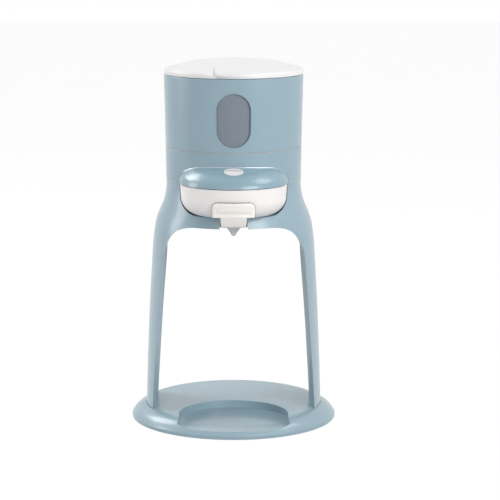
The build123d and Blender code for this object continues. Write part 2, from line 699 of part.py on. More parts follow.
def make_leg_frame():
    """One-piece moulded frame: two curved legs that flare into the shoulder under the tower."""
    shell = frame_body() - frame_body(LEG_WALL, SHOULDER_WALL, CUT_OVER)
    inside = frame_body(CUT_OVER, CUT_OVER)
    for x, y in long_screw_spots:
        shell += rod(BOSS_RADIUS, shelf_top, FRAME_TOP_Z, x, y) & inside
    shell = shell - arch_cutter() - drawer_opening()
    for x, y in long_screw_spots:
        shell -= rod(LONG_SCREW_RADIUS + SCREW_PLAY, shelf_under, FRAME_TOP_Z + CUT_OVER, x, y)
    for x, y in leg_screw_spots:
        shell -= rod(LONG_SCREW_RADIUS + PRESS_PLAY, 0, leg_screw_tip + CUT_OVER, x, y)
    return shell


def make_drawer_shelf():
    """Floor under the drawer and the pump, slotted for the spout's stem."""
    shelf = frame_body(LEG_WALL + PRESS_PLAY, SHOULDER_WALL + PRESS_PLAY)
    shelf = shelf & layer(shelf_under, shelf_top)
    shelf -= block(-stem_notch, stem_notch, -REACH, STEM_BACK_Y + RUN_GAP + CUT_OVER,
                   -REACH, REACH)
    for x, y in long_screw_spots:
        shelf -= bore(LONG_SCREW_RADIUS + SCREW_PLAY, x, y)
        shelf -= rod(SCREW_HEAD_RADIUS + SCREW_PLAY, 0, shelf_under + SCREW_HEAD_HEIGHT, x, y)
    return shelf


def make_long_screws():
    """Four long screws that clamp shelf, frame, ceiling and housing together."""
    return Compound(children=[
        screw(x, y, shelf_under, long_screw_tip, LONG_SCREW_RADIUS) for x, y in long_screw_spots])


# ------------------------------------------------------------------ tower housing
def cap_outline(inset=0.0):
    """Solid under the cap's lens-shaped top, about the head's own axis."""
    top, rim_z = FRAME_TOP_Z + CAP_HEIGHT, FRAME_TOP_Z + CAP_RIM_HEIGHT
    outline = [(0.0, top)]
    outline += [(head_radius - inwards, top - down) for inwards, down in CAP_CURVE]
    outline += [(head_radius, rim_z)]
    points = [(r, 0, z) for r, z in moved_in(outline, inset)]
    points[0] = (0, 0, top - inset)
    side = points[-1][0]
    lens = turned_edges(
        Spline(points, tangents=[(1, 0, 0), (0, 0, -1)]),
        Polyline(points[-1], (side, 0, shelf_top), (0, 0, shelf_top), points[0]))
    lean = Pos(0, HEAD_Y, FRAME_TOP_Z) * Rot(CAP_TILT, 0, 0) * Pos(0, 0, -FRAME_TOP_Z)
    return (lean * lens) & layer(FRAME_TOP_Z - (CUT_OVER if inset else 0), REACH)


def make_body_housing():
    """Band between the frame and the tank, with the deck that the tank stands on."""
    r_low, r_high = tower_low_radius, tower_seam_radius
    band = turned([
        (housing_inner, FRAME_TOP_Z), (r_low - SEAM_EDGE, FRAME_TOP_Z),
        (r_low, FRAME_TOP_Z + SEAM_EDGE), (r_high, HOUSING_TOP_Z - SEAM_EDGE),
        (r_high - SEAM_EDGE, HOUSING_TOP_Z), (r_high - HOUSING_WALL, HOUSING_TOP_Z),
        (r_high - HOUSING_WALL, deck_top), (0, deck_top), (0, deck_under),
        (housing_inner, deck_under),
    ])
    for x, y in long_screw_spots:
        band += rod(BOSS_RADIUS, ceiling_top, deck_under + CUT_OVER, x, y)
    band -= cap_outline() & front_of(CAP_BACK_Y)
    for x, y in long_screw_spots:
        band -= rod(LONG_SCREW_RADIUS + PRESS_PLAY, FRAME_TOP_Z, long_screw_tip + CUT_OVER, x, y)
    for x, y in board_post_spots:
        band += rod(BOARD_POST_RADIUS, board_top, deck_under + CUT_OVER, x, y)
    band -= rod(socket_outer, deck_under - CUT_OVER, HOUSING_TOP_Z, 0, VALVE_Y)
    return band - rod_y(GLAND_RADIUS, housing_inner - GLAND_DEPTH, BASE_RADIUS, 0, CABLE_Z)


def make_drawer_bay():
    """Lining of the drawer's bay: a ceiling plate with a curved splash wall behind the drawer."""
    rear = rod(housing_inner - SCREW_PLAY, FRAME_TOP_Z, ceiling_top) & behind(CAP_BACK_Y + PART_GAP)
    front = cap_outline(CAP_WALL + RUN_GAP) & layer(FRAME_TOP_Z, ceiling_top)
    plate = rear + front
    for x, y in long_screw_spots:
        plate -= bore(LONG_SCREW_RADIUS + SCREW_PLAY, x, y)
    plate -= bore(SHOWER_RADIUS, 0, NOZZLE_Y)
    plate -= bore(HOSE_RADIUS + RUN_GAP, INLET_X, VALVE_Y)
    plate -= bore(HOSE_RADIUS + RUN_GAP, heater_out_x, HEATER_Y)
    for x, y in button_post_spots:
        plate += rod(BUTTON_POST_RADIUS, ceiling_top, button_board_under, x, y)
    radius = BOWL_RADIUS + BAY_PLAY
    wall = tube(radius + BAY_WALL, radius, shelf_top, FRAME_TOP_Z + PART_GAP, 0, HEAD_Y)
    return plate + (wall & behind(CAP_BACK_Y + 2 * CUT_OVER))


# ------------------------------------------------------------------ head
def make_head_cap():
    """Glossy lens-shaped cap over the drawer, open towards the tower and hollow inside."""
    cap = (cap_outline() - cap_outline(CAP_WALL)) & front_of(CAP_BACK_Y - SCREW_PLAY / 2)
    return cap - oval(BUTTON_WIDTH + 2 * PART_GAP, BUTTON_DEPTH + 2 * PART_GAP,
                      button_board_top, REACH, BUTTON_Y)


def make_start_button():
    """Oval push button that follows the cap's crown, with a flange that keeps it in."""
    body = oval(BUTTON_WIDTH, BUTTON_DEPTH, button_low, REACH, BUTTON_Y)
    body = body & cap_outline(-BUTTON_PROUD)
    line = block(-BUTTON_WIDTH, BUTTON_WIDTH, BUTTON_Y - BUTTON_GROOVE / 2,
                 BUTTON_Y + BUTTON_GROOVE / 2, button_low, REACH)
    body -= line - cap_outline(BUTTON_GROOVE - BUTTON_PROUD)
    flange = oval(BUTTON_WIDTH + 2 * BUTTON_FLANGE, BUTTON_DEPTH + 2 * BUTTON_FLANGE,
                  button_low, button_low + BUTTON_FLANGE_THICK, BUTTON_Y)
    return body + (flange & cap_outline(CAP_WALL + PART_GAP))


def make_button_board():
    """Small circuit board under the button."""
    half_x, half_y = BUTTON_BOARD_SIZE[0] / 2, BUTTON_BOARD_SIZE[1] / 2
    middle = BUTTON_Y + BUTTON_BOARD_SHIFT
    return block(-half_x, half_x, middle - half_y, middle + half_y,
                 button_board_under, button_board_top)


def make_button_switch():
    """Tactile switch that the button pushes on."""
    half = SWITCH_SIZE / 2
    can = block(-half, half, BUTTON_Y - half, BUTTON_Y + half,
                button_board_top, button_board_top + SWITCH_CAN_HEIGHT)
    return can + rod(SWITCH_STEM_RADIUS, button_board_top, switch_top, 0, BUTTON_Y)


def make_shower_head():
    """Water outlet over the powder: a round plate with jets, fed from the side."""
    jets_z = FRAME_TOP_Z + SCREW_PLAY / 2
    collar_top = ceiling_top + SHOWER_COLLAR_THICK
    body = rod(SHOWER_RADIUS - SCREW_PLAY / 2, jets_z, collar_top, 0, NOZZLE_Y)
    body += rod(SHOWER_RADIUS + SHOWER_COLLAR, ceiling_top, collar_top, 0, NOZZLE_Y)
    body += rod(SHOWER_NECK_RADIUS, ceiling_top, hose_z + HOSE_RADIUS, 0, NOZZLE_Y)
    body += rod_x(SPIGOT_RADIUS, 0, SHOWER_NECK_RADIUS + SPIGOT_REACH, NOZZLE_Y, hose_z)
    for x, y in on_circle(JET_CIRCLE, range(0, 360, 360 // JET_COUNT), NOZZLE_Y):
        body -= rod(JET_RADIUS, FRAME_TOP_Z, ceiling_top + CUT_OVER / 2, x, y)
    return body


def make_powder_bowl():
    """White drawer bowl, its floor dished towards the outlet hole."""
    inner_r = BOWL_RADIUS - BOWL_WALL
    low_r = inner_r - BOWL_DRAFT
    corner = BOWL_CORNER - BOWL_WALL
    start = (low_r, 0, BOWL_FLOOR_Z + BOWL_CORNER)
    end = (low_r - corner, 0, bowl_floor_top + BOWL_DISH)
    middle = (low_r - corner * (1 - cos(radians(50))), 0, start[2] - corner * sin(radians(50)))
    high = bowl_top + CUT_OVER
    inside = turned_edges(
        Line((inner_r, 0, high), start), ThreePointArc(start, middle, end),
        Polyline(end, (0, 0, bowl_floor_top), (0, 0, high), (inner_r, 0, high)))
    return bowl_body() - (Pos(0, HEAD_Y, 0) * inside) - bore(MILK_BORE, 0, NOZZLE_Y)


def make_spout_block():
    """Cream T-shaped spout: a grip pad on the bowl's front and a stem that leads to the nozzle."""
    front = HEAD_Y - BOWL_RADIUS
    root_y = HEAD_Y - PAD_BACK
    height = PAD_TOP_Z - PAD_BOTTOM_Z
    round_face = Plane.XZ * (Pos(0, (PAD_TOP_Z + PAD_BOTTOM_Z) / 2) * RectangleRounded(
        PAD_WIDTH, height, PAD_CORNER))
    square_face = Plane.XZ * (Pos(0, PAD_BOTTOM_Z + height / 4) * Rectangle(PAD_WIDTH, height / 2))
    pad = along_y(round_face + square_face, -REACH, root_y) & bore(
        BOWL_RADIUS + PAD_PROUD, 0, HEAD_Y)
    pad = fillet(pad.faces().sort_by(Axis.Y)[0].edges(), PAD_EDGE)
    groove_y = front - PAD_PROUD - PAD_GROOVE_RADIUS + PAD_GROOVE_DEPTH
    pad -= rod_x(PAD_GROOVE_RADIUS, -REACH, REACH, groove_y, (PAD_TOP_Z + PAD_BOTTOM_Z) / 2)

    half, tip = STEM_WIDTH / 2, STEM_TIP_WIDTH / 2
    high, stem_front = PAD_TOP_Z - PAD_CORNER, front - STEM_PROUD
    stem_face = Plane.XZ * make_face(Polyline(
        (-half, high), (-half, PAD_BOTTOM_Z), (-tip, STEM_BOTTOM_Z),
        (tip, STEM_BOTTOM_Z), (half, PAD_BOTTOM_Z), (half, high), close=True))
    side_face = Plane.YZ * make_face(Polyline(
        (stem_front, high), (stem_front, PAD_BOTTOM_Z),
        (STEM_FRONT_Y, STEM_LOW_Z + STEM_HEEL), (STEM_FRONT_Y + STEM_HEEL, STEM_LOW_Z),
        (STEM_UNDER_Y, STEM_BOTTOM_Z), (STEM_BACK_Y, STEM_BOTTOM_Z), (STEM_BACK_Y, bowl_floor_top),
        (root_y, bowl_floor_top), (root_y, high), close=True))
    side = extrude(Pos(-half, 0, 0) * side_face, amount=2 * half, dir=(1, 0, 0))
    stem = along_y(stem_face, stem_front, STEM_BACK_Y) & side
    front_corners = [edge for edge in stem.edges() if edge.center().Y < STEM_FRONT_Y
                     and STEM_LOW_Z + STEM_HEEL < edge.center().Z < PAD_BOTTOM_Z]
    stem = fillet(front_corners, STEM_EDGE)
    spout = (pad + stem) - bowl_body() - bore(MILK_BORE, 0, NOZZLE_Y)
    return spout - rod(NOZZLE_PLUG_RADIUS, 0, nozzle_plug_top, 0, NOZZLE_Y)


def make_outlet_nozzle():
    """Soft grey cone that the milk leaves by, plugged into the stem."""
    top = STEM_BOTTOM_Z
    cone = turned([
        (MILK_BORE, nozzle_plug_top), (NOZZLE_PLUG_RADIUS, nozzle_plug_top),
        (NOZZLE_PLUG_RADIUS, top), (NOZZLE_RADIUS, top), (NOZZLE_RADIUS, top - NOZZLE_FLANGE),
        (NOZZLE_TIP_RADIUS, NOZZLE_TIP_Z), (NOZZLE_HOLE, NOZZLE_TIP_Z),
        (NOZZLE_HOLE, NOZZLE_TIP_Z + NOZZLE_TIP_RADIUS), (MILK_BORE, top - NOZZLE_PLUG_HEIGHT),
    ])
    return Pos(0, NOZZLE_Y, 0) * cone


# ------------------------------------------------------------------ water tank
def tower_radius(z):
    """Outer radius of the slightly tapered tank."""
    return TOWER_TOP_RADIUS - TANK_TAPER * (SLEEVE_TOP_Z - z) / (SLEEVE_TOP_Z - HOUSING_TOP_Z)


def window_face(grow=0.0):
    """Upright window with round ends on the XZ plane."""
    return Plane.XZ * (Pos(0, SLEEVE_TOP_Z - WINDOW_DROP) * Rot(0, 0, 90) * SlotOverall(
        WINDOW_HEIGHT + 2 * grow, WINDOW_WIDTH + 2 * grow))


def make_tank_sleeve():
    """Coloured outer sleeve of the tank with the level window."""
    low, high = tower_radius(sleeve_bottom), tower_radius(SLEEVE_TOP_Z)
    sleeve = turned([
        (low - SLEEVE_WALL, sleeve_bottom), (low - SEAM_EDGE, sleeve_bottom),
        (low, sleeve_bottom + SEAM_EDGE), (high, SLEEVE_TOP_Z - SEAM_EDGE),
        (high - SEAM_EDGE, SLEEVE_TOP_Z), (high - SLEEVE_WALL, SLEEVE_TOP_Z),
    ])
    sleeve -= along_y(window_face(), -REACH, 0)
    bevel = along_y(window_face(WINDOW_EDGE), -REACH, 0)
    return sleeve - (bevel - bore(tower_radius(SLEEVE_TOP_Z - WINDOW_DROP) - WINDOW_EDGE))


def make_tank_liner():
    """Smoky clear tank that holds the water, open at the top."""
    low, high = tower_radius(sleeve_bottom) - liner_inset, tower_radius(SLEEVE_TOP_Z) - liner_inset
    liner = turned([
        (0, sleeve_bottom), (low, sleeve_bottom), (high, liner_rim),
        (high - LINER_WALL, liner_rim), (low - LINER_WALL, liner_floor_top), (0, liner_floor_top),
    ])
    return liner - bore(VALVE_SPIGOT_RADIUS, 0, VALVE_Y)


def make_tank_valve_body():
    """Valve housing through the tank's floor, with a bridge that guides the plunger."""
    body = rod(VALVE_SPIGOT_RADIUS + VALVE_FLANGE, liner_floor_top,
               liner_floor_top + VALVE_FLANGE_THICK, 0, VALVE_Y)
    body += rod(VALVE_SPIGOT_RADIUS, spigot_bottom, bridge_top, 0, VALVE_Y)
    body -= rod(VALVE_SPIGOT_RADIUS - VALVE_SPIGOT_WALL, valve_seat_top, bridge_under, 0, VALVE_Y)
    body -= rod(VALVE_SEAT_HOLE, 0, valve_seat_top + CUT_OVER, 0, VALVE_Y)
    body -= bore(PLUNGER_STEM_RADIUS + SCREW_PLAY / 2, 0, VALVE_Y)
    for x, y in on_circle(BRIDGE_CIRCLE, range(45, 405, 90), VALVE_Y):
        body -= rod(BRIDGE_HOLE, bridge_under - CUT_OVER, bridge_top + CUT_OVER, x, y)
    return body


def make_valve_plunger():
    """Plunger that closes the tank when it is lifted off; its foot rests over the socket's pin."""
    disc = rod(PLUNGER_DISC_RADIUS, valve_disc_under, valve_disc_top, 0, VALVE_Y)
    return disc + rod(PLUNGER_STEM_RADIUS, plunger_foot, bridge_top + PLUNGER_HEAD, 0, VALVE_Y)


def make_valve_seal():
    """Rubber ring under the plunger's disc."""
    return tube(PLUNGER_DISC_RADIUS, PLUNGER_STEM_RADIUS, valve_seal_under, valve_disc_under,
                0, VALVE_Y)


def make_valve_spring():
    """Coil spring between the plunger's disc and the bridge."""
    z_low, z_high = valve_disc_top + SPRING_WIRE, bridge_under - SPRING_WIRE
    path = Helix(pitch=(z_high - z_low) / SPRING_TURNS, height=z_high - z_low,
                 radius=SPRING_RADIUS)
    start = Plane(origin=path @ 0, z_dir=path % 0)
    return Pos(0, VALVE_Y, z_low) * sweep(start * Circle(SPRING_WIRE), path=path, is_frenet=True)


def make_tank_socket():
    """Cup in the deck that the tank's valve stands in, with the pin that opens it."""
    cup = rod(socket_outer - PRESS_PLAY, socket_floor_under, deck_top, 0, VALVE_Y)
    cup += rod(socket_outer + SOCKET_COLLAR, deck_top, deck_top + SOCKET_COLLAR_THICK, 0, VALVE_Y)
    cup -= rod(SOCKET_RADIUS, socket_floor_top, HOUSING_TOP_Z + CUT_OVER, 0, VALVE_Y)
    cup += rod(SOCKET_PIN_RADIUS, socket_floor_under, plunger_foot - PART_GAP, 0, VALVE_Y)
    spigot = rod(SPIGOT_RADIUS, socket_floor_under - INLET_LENGTH, socket_floor_under,
                 INLET_X, VALVE_Y)
    return cup + spigot - rod(SPIGOT_BORE, 0, socket_floor_top + CUT_OVER, INLET_X, VALVE_Y)


def make_socket_seal():
    """Rubber ring that seals the tank's spigot in its socket."""
    z_low = spigot_bottom + SEAL_HEIGHT
    return tube(SOCKET_RADIUS, VALVE_SPIGOT_RADIUS + SCREW_PLAY, z_low, z_low + SEAL_HEIGHT,
                0, VALVE_Y)


def lid_dome(radius, wall, z_low):
    """Solid under the lid's dome, thinner by the wall, from a height up."""
    ball = dome_radius - wall
    side_z = dome_centre_z + sqrt(ball ** 2 - radius ** 2)
    half_turn = asin(radius / ball) / 2
    middle = (ball * sin(half_turn), 0, dome_centre_z + ball * cos(half_turn))
    corners = Polyline((radius, 0, side_z), (radius, 0, z_low), (0, 0, z_low),
                       (0, 0, dome_centre_z + ball))
    return turned_edges(
        ThreePointArc((0, 0, dome_centre_z + ball), middle, (radius, 0, side_z)), corners)


def lid_fold():
    """What is cut from the lid's front edge for a finger: a dip and a notch beside one fold."""
    edge_y = -sqrt(TOWER_TOP_RADIUS ** 2 - GRIP_FOLD_X ** 2)
    inner_y, dip_y, out_y = edge_y + GRIP_FOLD_REACH, edge_y + GRIP_DIP, edge_y - LID_DOME_HEIGHT
    inner_z = dome_centre_z + sqrt(dome_radius ** 2 - GRIP_FOLD_X ** 2 - inner_y ** 2)
    dip_z, low = lid_rim_top - GRIP_DIP / 2, lid_bottom - CUT_OVER
    dip = Pos(GRIP_FOLD_X, 0, 0) * (Plane.YZ * make_face(Polyline(
        (inner_y, inner_z), (dip_y, dip_z), (dip_y, low), (out_y, low), (out_y, lid_top),
        (inner_y, lid_top), close=True)))
    slope = GRIP_NOTCH_HEIGHT / GRIP_NOTCH
    notch = Pos(GRIP_FOLD_X, 0, 0) * (Plane.YZ * make_face(Polyline(
        (edge_y + GRIP_NOTCH, low), (edge_y + GRIP_NOTCH, lid_bottom),
        (out_y, lid_bottom + slope * (edge_y + GRIP_NOTCH - out_y)), (out_y, low), close=True)))
    return extrude(dip, amount=hypot(*GRIP_DIP_RUN), dir=(*GRIP_DIP_RUN, 0)) + extrude(
        notch, amount=hypot(*GRIP_NOTCH_RUN), dir=(*GRIP_NOTCH_RUN, 0))


def make_tank_lid():
    """Domed lift-off lid with a rim, a plug ring and a folded edge for a finger at the front."""
    dome = lid_dome(TOWER_TOP_RADIUS, 0, lid_bottom)
    high_rim = [edge for edge in dome.edges().sort_by(Axis.Z) if edge.is_closed][-1]
    dome = chamfer(fillet(high_rim, LID_EDGE).edges().sort_by(Axis.Z)[0], LID_LOW_EDGE)
    body = dome - lid_fold() + rod(lid_plug_radius, lid_plug_low, lid_bottom + CUT_OVER)
    return body - lid_dome(lid_plug_radius - LID_WALL, LID_WALL, lid_plug_low - CUT_OVER)


def make_lid_seal():
    """Soft ring on the lid's plug."""
    z_low = lid_plug_low + SEAL_HEIGHT
    return tube(lid_plug_radius + SEAL_THICK, lid_plug_radius, z_low, z_low + SEAL_HEIGHT)


# ------------------------------------------------------------------ pump, heater, hoses
def make_pump_head():
    """Pump chamber with an inlet on top and an outlet at the side."""
    head = rod_x(PUMP_HEAD_RADIUS, -pump_front, pump_front, VALVE_Y, PUMP_Z)
    head += rod(SPIGOT_RADIUS, PUMP_Z, pump_inlet_top, INLET_X, VALVE_Y)
    return head + rod_x(SPIGOT_RADIUS, 0, pump_outlet_end, pump_outlet_y, PUMP_Z)


def make_pump_motor():
    """Can motor behind the pump head."""
    can = rod_x(PUMP_MOTOR_RADIUS, motor_start, -pump_front, VALVE_Y, PUMP_Z)
    can = fillet(can.edges().sort_by(Axis.X)[0], PUMP_MOTOR_EDGE)
    return can + rod_x(PUMP_BOSS_RADIUS, motor_start - PUMP_BOSS_LENGTH, motor_start + CUT_OVER,
                       VALVE_Y, PUMP_Z)


def make_pump_cradle():
    """Rubber saddle that carries the motor on the shelf."""
    start = motor_start + CRADLE_START
    saddle = block(start, start + CRADLE_LENGTH, VALVE_Y - CRADLE_HALF, VALVE_Y + CRADLE_HALF,
                   shelf_top, PUMP_Z - CRADLE_DROP)
    return saddle - rod_x(PUMP_MOTOR_RADIUS, motor_start, -pump_front, VALVE_Y, PUMP_Z)


def make_heater_body():
    """Flow-through heater: an aluminium tube with end caps and a flat for the cut-outs."""
    body = rod_x(HEATER_RADIUS, HEATER_START_X, heater_end, HEATER_Y, PUMP_Z)
    body -= layer(heater_flat_z, REACH)
    for x in (HEATER_START_X, heater_end - HEATER_CAP_LENGTH):
        body += rod_x(heater_cap_radius, x, x + HEATER_CAP_LENGTH, HEATER_Y, PUMP_Z)
    body += rod_y(SPIGOT_RADIUS, HEATER_Y, pump_outlet_y - HOSE_RADIUS - PART_GAP,
                  heater_in_x, PUMP_Z)
    return body + rod(SPIGOT_RADIUS, PUMP_Z, PUMP_Z + HEATER_RADIUS + PUMP_OUTLET_LENGTH,
                      heater_out_x, HEATER_Y)


def make_heater_clamps():
    """Two saddles that hold the heater off the shelf."""
    saddles = []
    for start in CLAMP_STARTS:
        x = HEATER_START_X + start
        saddle = block(x, x + CLAMP_WIDTH, HEATER_Y - CLAMP_HALF, HEATER_Y + CLAMP_HALF,
                       shelf_top, PUMP_Z - CLAMP_DROP)
        saddles.append(saddle - rod_x(HEATER_RADIUS, HEATER_START_X, heater_end, HEATER_Y, PUMP_Z))
    return Compound(children=saddles)


def make_thermal_cutouts():
    """Two safety cut-outs on the heater's flat."""
    return Compound(children=[
        rod(CUTOUT_RADIUS, heater_flat_z, heater_flat_z + CUTOUT_HEIGHT,
            HEATER_START_X + place, HEATER_Y) for place in CUTOUT_PLACES])


def make_temperature_sensor():
    """Bead sensor in the heater's end."""
    return rod_x(SENSOR_RADIUS, heater_end, heater_end + SENSOR_LENGTH, HEATER_Y,
                 PUMP_Z + SENSOR_RISE)


def make_inlet_hose():
    """Short straight hose from the tank's socket to the pump."""
    return tube(HOSE_RADIUS, HOSE_BORE, pump_inlet_top - HOSE_PUSH, socket_floor_under,
                INLET_X, VALVE_Y)


def make_pump_hose():
    """Hose with one bend from the pump to the heater."""
    return hose([(pump_front + HEATER_CAP, pump_outlet_y, PUMP_Z),
                 (heater_in_x, pump_outlet_y, PUMP_Z),
                 (heater_in_x, HEATER_Y + heater_cap_radius, PUMP_Z)], HOSE_TIGHT_BEND)


def make_outlet_hose():
    """Hose from the heater up through the ceiling and forward to the shower head."""
    z_start = PUMP_Z + HEATER_RADIUS + CUT_OVER
    return hose([(heater_out_x, HEATER_Y, z_start), (heater_out_x, HEATER_Y, hose_z),
                 (*HOSE_SIDE, hose_z), (HOSE_TURN_X, NOZZLE_Y, hose_z),
                 (SHOWER_NECK_RADIUS + RUN_GAP, NOZZLE_Y, hose_z)], HOSE_BEND)


# ------------------------------------------------------------------ electronics
def make_control_board():
    """Main circuit board, hung under the deck."""
    half_x, half_y = BOARD_SIZE[0] / 2, BOARD_SIZE[1] / 2
    return block(-half_x, half_x, BOARD_Y - half_y, BOARD_Y + half_y, board_under, board_top)


def make_board_parts():
    """Relay, transformer and capacitor on the board's underside."""
    boxes = [
        Pos(x, BOARD_Y + y, board_under - height / 2) * Box(width, depth, height)
        for x, y, width, depth, height in (RELAY, TRANSFORMER)]
    x, y, radius, height = CAPACITOR
    return Compound(children=boxes + [rod(radius, board_under - height, board_under,
                                          x, BOARD_Y + y)])


def make_terminal_block():
    """Screw terminals where the mains lead ends."""
    width, depth, height = TERMINAL_SIZE
    body = Pos(TERMINAL_X, TERMINAL_Y, ceiling_top + height / 2) * Box(width, depth, height)
    for step in (-1, 0, 1):
        body -= rod(TERMINAL_HOLE, ceiling_top + height / 2, ceiling_top + height + CUT_OVER,
                    TERMINAL_X + step * TERMINAL_PITCH, TERMINAL_Y)
    return body


def make_cable_gland():
    """Round grommet in the back of the housing that the mains lead comes through."""
    wall = tower_low_radius
    body = rod_y(GLAND_RADIUS, wall - GLAND_DEPTH, wall + GLAND_PROUD, 0, CABLE_Z)
    body += rod_y(GLAND_FLANGE, wall + PART_GAP, wall + GLAND_PROUD, 0, CABLE_Z)
    return body - rod_y(CABLE_RADIUS, 0, BASE_RADIUS, 0, CABLE_Z)


# ------------------------------------------------------------------ write the nodes
NODES = {
    "base_shell": make_base_shell,
    "base_bottom_plate": make_base_bottom_plate,
    "rubber_feet": make_rubber_feet,
    "base_screws": make_base_screws,
    "leg_screws": make_leg_screws,
    "leg_frame": make_leg_frame,
    "drawer_shelf": make_drawer_shelf,
    "long_screws": make_long_screws,
    "body_housing": make_body_housing,
    "drawer_bay": make_drawer_bay,
    "head_cap": make_head_cap,
    "start_button": make_start_button,
    "button_board": make_button_board,
    "button_switch": make_button_switch,
    "shower_head": make_shower_head,
    "powder_bowl": make_powder_bowl,
    "spout_block": make_spout_block,
    "outlet_nozzle": make_outlet_nozzle,
    "tank_sleeve": make_tank_sleeve,
    "tank_liner": make_tank_liner,
    "tank_valve_body": make_tank_valve_body,
    "valve_plunger": make_valve_plunger,
    "valve_seal": make_valve_seal,
    "valve_spring": make_valve_spring,
    "tank_socket": make_tank_socket,
    "socket_seal": make_socket_seal,
    "tank_lid": make_tank_lid,
    "lid_seal": make_lid_seal,
    "pump_head": make_pump_head,
    "pump_motor": make_pump_motor,
    "pump_cradle": make_pump_cradle,
    "heater_body": make_heater_body,
    "heater_clamps": make_heater_clamps,
    "thermal_cutouts": make_thermal_cutouts,
    "temperature_sensor": make_temperature_sensor,
    "inlet_hose": make_inlet_hose,
    "pump_hose": make_pump_hose,
    "outlet_hose": make_outlet_hose,
    "control_board": make_control_board,
    "board_parts": make_board_parts,
    "terminal_block": make_terminal_block,
    "cable_gland": make_cable_gland,
}

os.makedirs("parts", exist_ok=True)
for node_name, make_node in NODES.items():
    save(node_name, make_node())
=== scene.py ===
# %% [markdown]
# # A baby formula maker, finished in Blender
#
# The machine is a round water tank on a tower. Two curved legs carry the tower over the place
# where a bottle stands, and a drawer for milk powder with a spout looks out of the tower's front.
# Its solid pieces come from a CAD model at their real size. This lesson gives them their finishes
# and makes some of them again with more detail: screws, feet, lid, cap, spout and nozzle.
#
# The first step loads the solid pieces. They are a fixed frame: nothing here moves or resizes
# them, so every piece that we add takes its place from them.

# %% Load the machine's solid pieces
import json
from math import asin, cos, dist, pi, radians, sin, sqrt

import bmesh
import bpy
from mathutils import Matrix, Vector


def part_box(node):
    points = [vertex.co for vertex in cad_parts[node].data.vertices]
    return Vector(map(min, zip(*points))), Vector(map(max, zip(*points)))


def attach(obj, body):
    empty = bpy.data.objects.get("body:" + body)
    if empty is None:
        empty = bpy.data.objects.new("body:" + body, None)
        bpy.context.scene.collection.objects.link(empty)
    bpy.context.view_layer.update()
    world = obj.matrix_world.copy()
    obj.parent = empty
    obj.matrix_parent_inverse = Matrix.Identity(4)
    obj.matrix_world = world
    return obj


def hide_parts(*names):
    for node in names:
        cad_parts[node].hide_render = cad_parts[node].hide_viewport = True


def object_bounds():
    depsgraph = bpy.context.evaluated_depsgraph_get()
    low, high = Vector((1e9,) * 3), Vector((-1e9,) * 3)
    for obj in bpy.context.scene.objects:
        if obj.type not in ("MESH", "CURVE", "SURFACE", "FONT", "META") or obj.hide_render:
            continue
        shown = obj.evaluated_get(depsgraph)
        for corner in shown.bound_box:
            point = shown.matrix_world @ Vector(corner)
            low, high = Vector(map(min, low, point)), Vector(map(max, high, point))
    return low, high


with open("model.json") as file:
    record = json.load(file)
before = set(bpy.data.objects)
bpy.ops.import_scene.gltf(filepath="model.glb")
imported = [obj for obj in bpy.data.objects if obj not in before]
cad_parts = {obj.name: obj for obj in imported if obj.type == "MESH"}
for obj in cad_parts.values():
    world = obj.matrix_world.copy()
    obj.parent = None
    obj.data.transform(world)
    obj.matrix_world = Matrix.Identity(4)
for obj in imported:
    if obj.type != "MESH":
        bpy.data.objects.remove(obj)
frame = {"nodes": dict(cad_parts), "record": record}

cad_low, cad_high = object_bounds()
cad_size = [round((high - low) * 1000, 1) for low, high in zip(cad_low, cad_high)]
print("The machine measures", cad_size, "mm and has", len(frame["nodes"]), "solid pieces")

# %% [markdown]
# Colours are easiest to write down as they look on a screen, from 0 to 255. Blender calculates
# with linear light, so a small helper turns one into the other. The Standard view shows colours
# plainly, without a film-like curve on top.

# %% Colours as they look on a screen
def screen(red, green, blue, alpha=1.0):
    """Linear colour of a colour written as it looks on a screen."""
    linear = []
    for value in (red, green, blue):
        share = value / 255
        linear.append(share / 12.92 if share <= 0.04045 else ((share + 0.055) / 1.055) ** 2.4)
    return (*linear, alpha)


scene = bpy.context.scene
scene.view_settings.view_transform = "Standard"

# %% [markdown]
# ## The studio
#
# A long lens from about two paces away keeps upright edges nearly parallel, as a product picture
# does. The camera stands a little above the machine and looks down on it by about ten degrees, and
# it is shifted slightly sideways so that the machine stands left of the middle.

# %% Camera
SENSOR_WIDTH = 36.0
IMAGE_WIDTH = 500
FOCAL_PIXELS = 2017.0
CAMERA_DISTANCE = 1.750
CAMERA_HEIGHT = 0.452
CAMERA_DOWN = radians(9.828)
MACHINE_X_IN_IMAGE = 233.6

camera_data = bpy.data.cameras.new("studio_camera")
camera_data.sensor_width = SENSOR_WIDTH
camera_data.lens = FOCAL_PIXELS / IMAGE_WIDTH * SENSOR_WIDTH
camera_data.shift_x = (IMAGE_WIDTH / 2 - MACHINE_X_IN_IMAGE) / IMAGE_WIDTH
camera = bpy.data.objects.new("studio_camera", camera_data)
camera.location = (0, -CAMERA_DISTANCE, CAMERA_HEIGHT)
camera.rotation_euler = (pi / 2 - CAMERA_DOWN, 0, 0)
scene.collection.objects.link(camera)
scene.camera = camera
print("Lens", round(camera_data.lens, 1), "mm")

# %% [markdown]
# The machine stands in a white studio. The floor is a plain grey sheet that catches the soft
# shadow. Seen directly, or in a glossy surface, it is mixed with plain white, so that the
# picture's ground stays white while the light that reaches the machine stays at a plain level.

# %% White floor and surroundings
FLOOR_HALF = 6.0
FLOOR_COLOUR = (0.58, 0.58, 0.59, 1)
FLOOR_WHITENING = 0.86
FLOOR_GLOW = 1.10
AMBIENT = 0.30
AMBIENT_COLOUR = (0.94, 0.97, 1.0, 1)


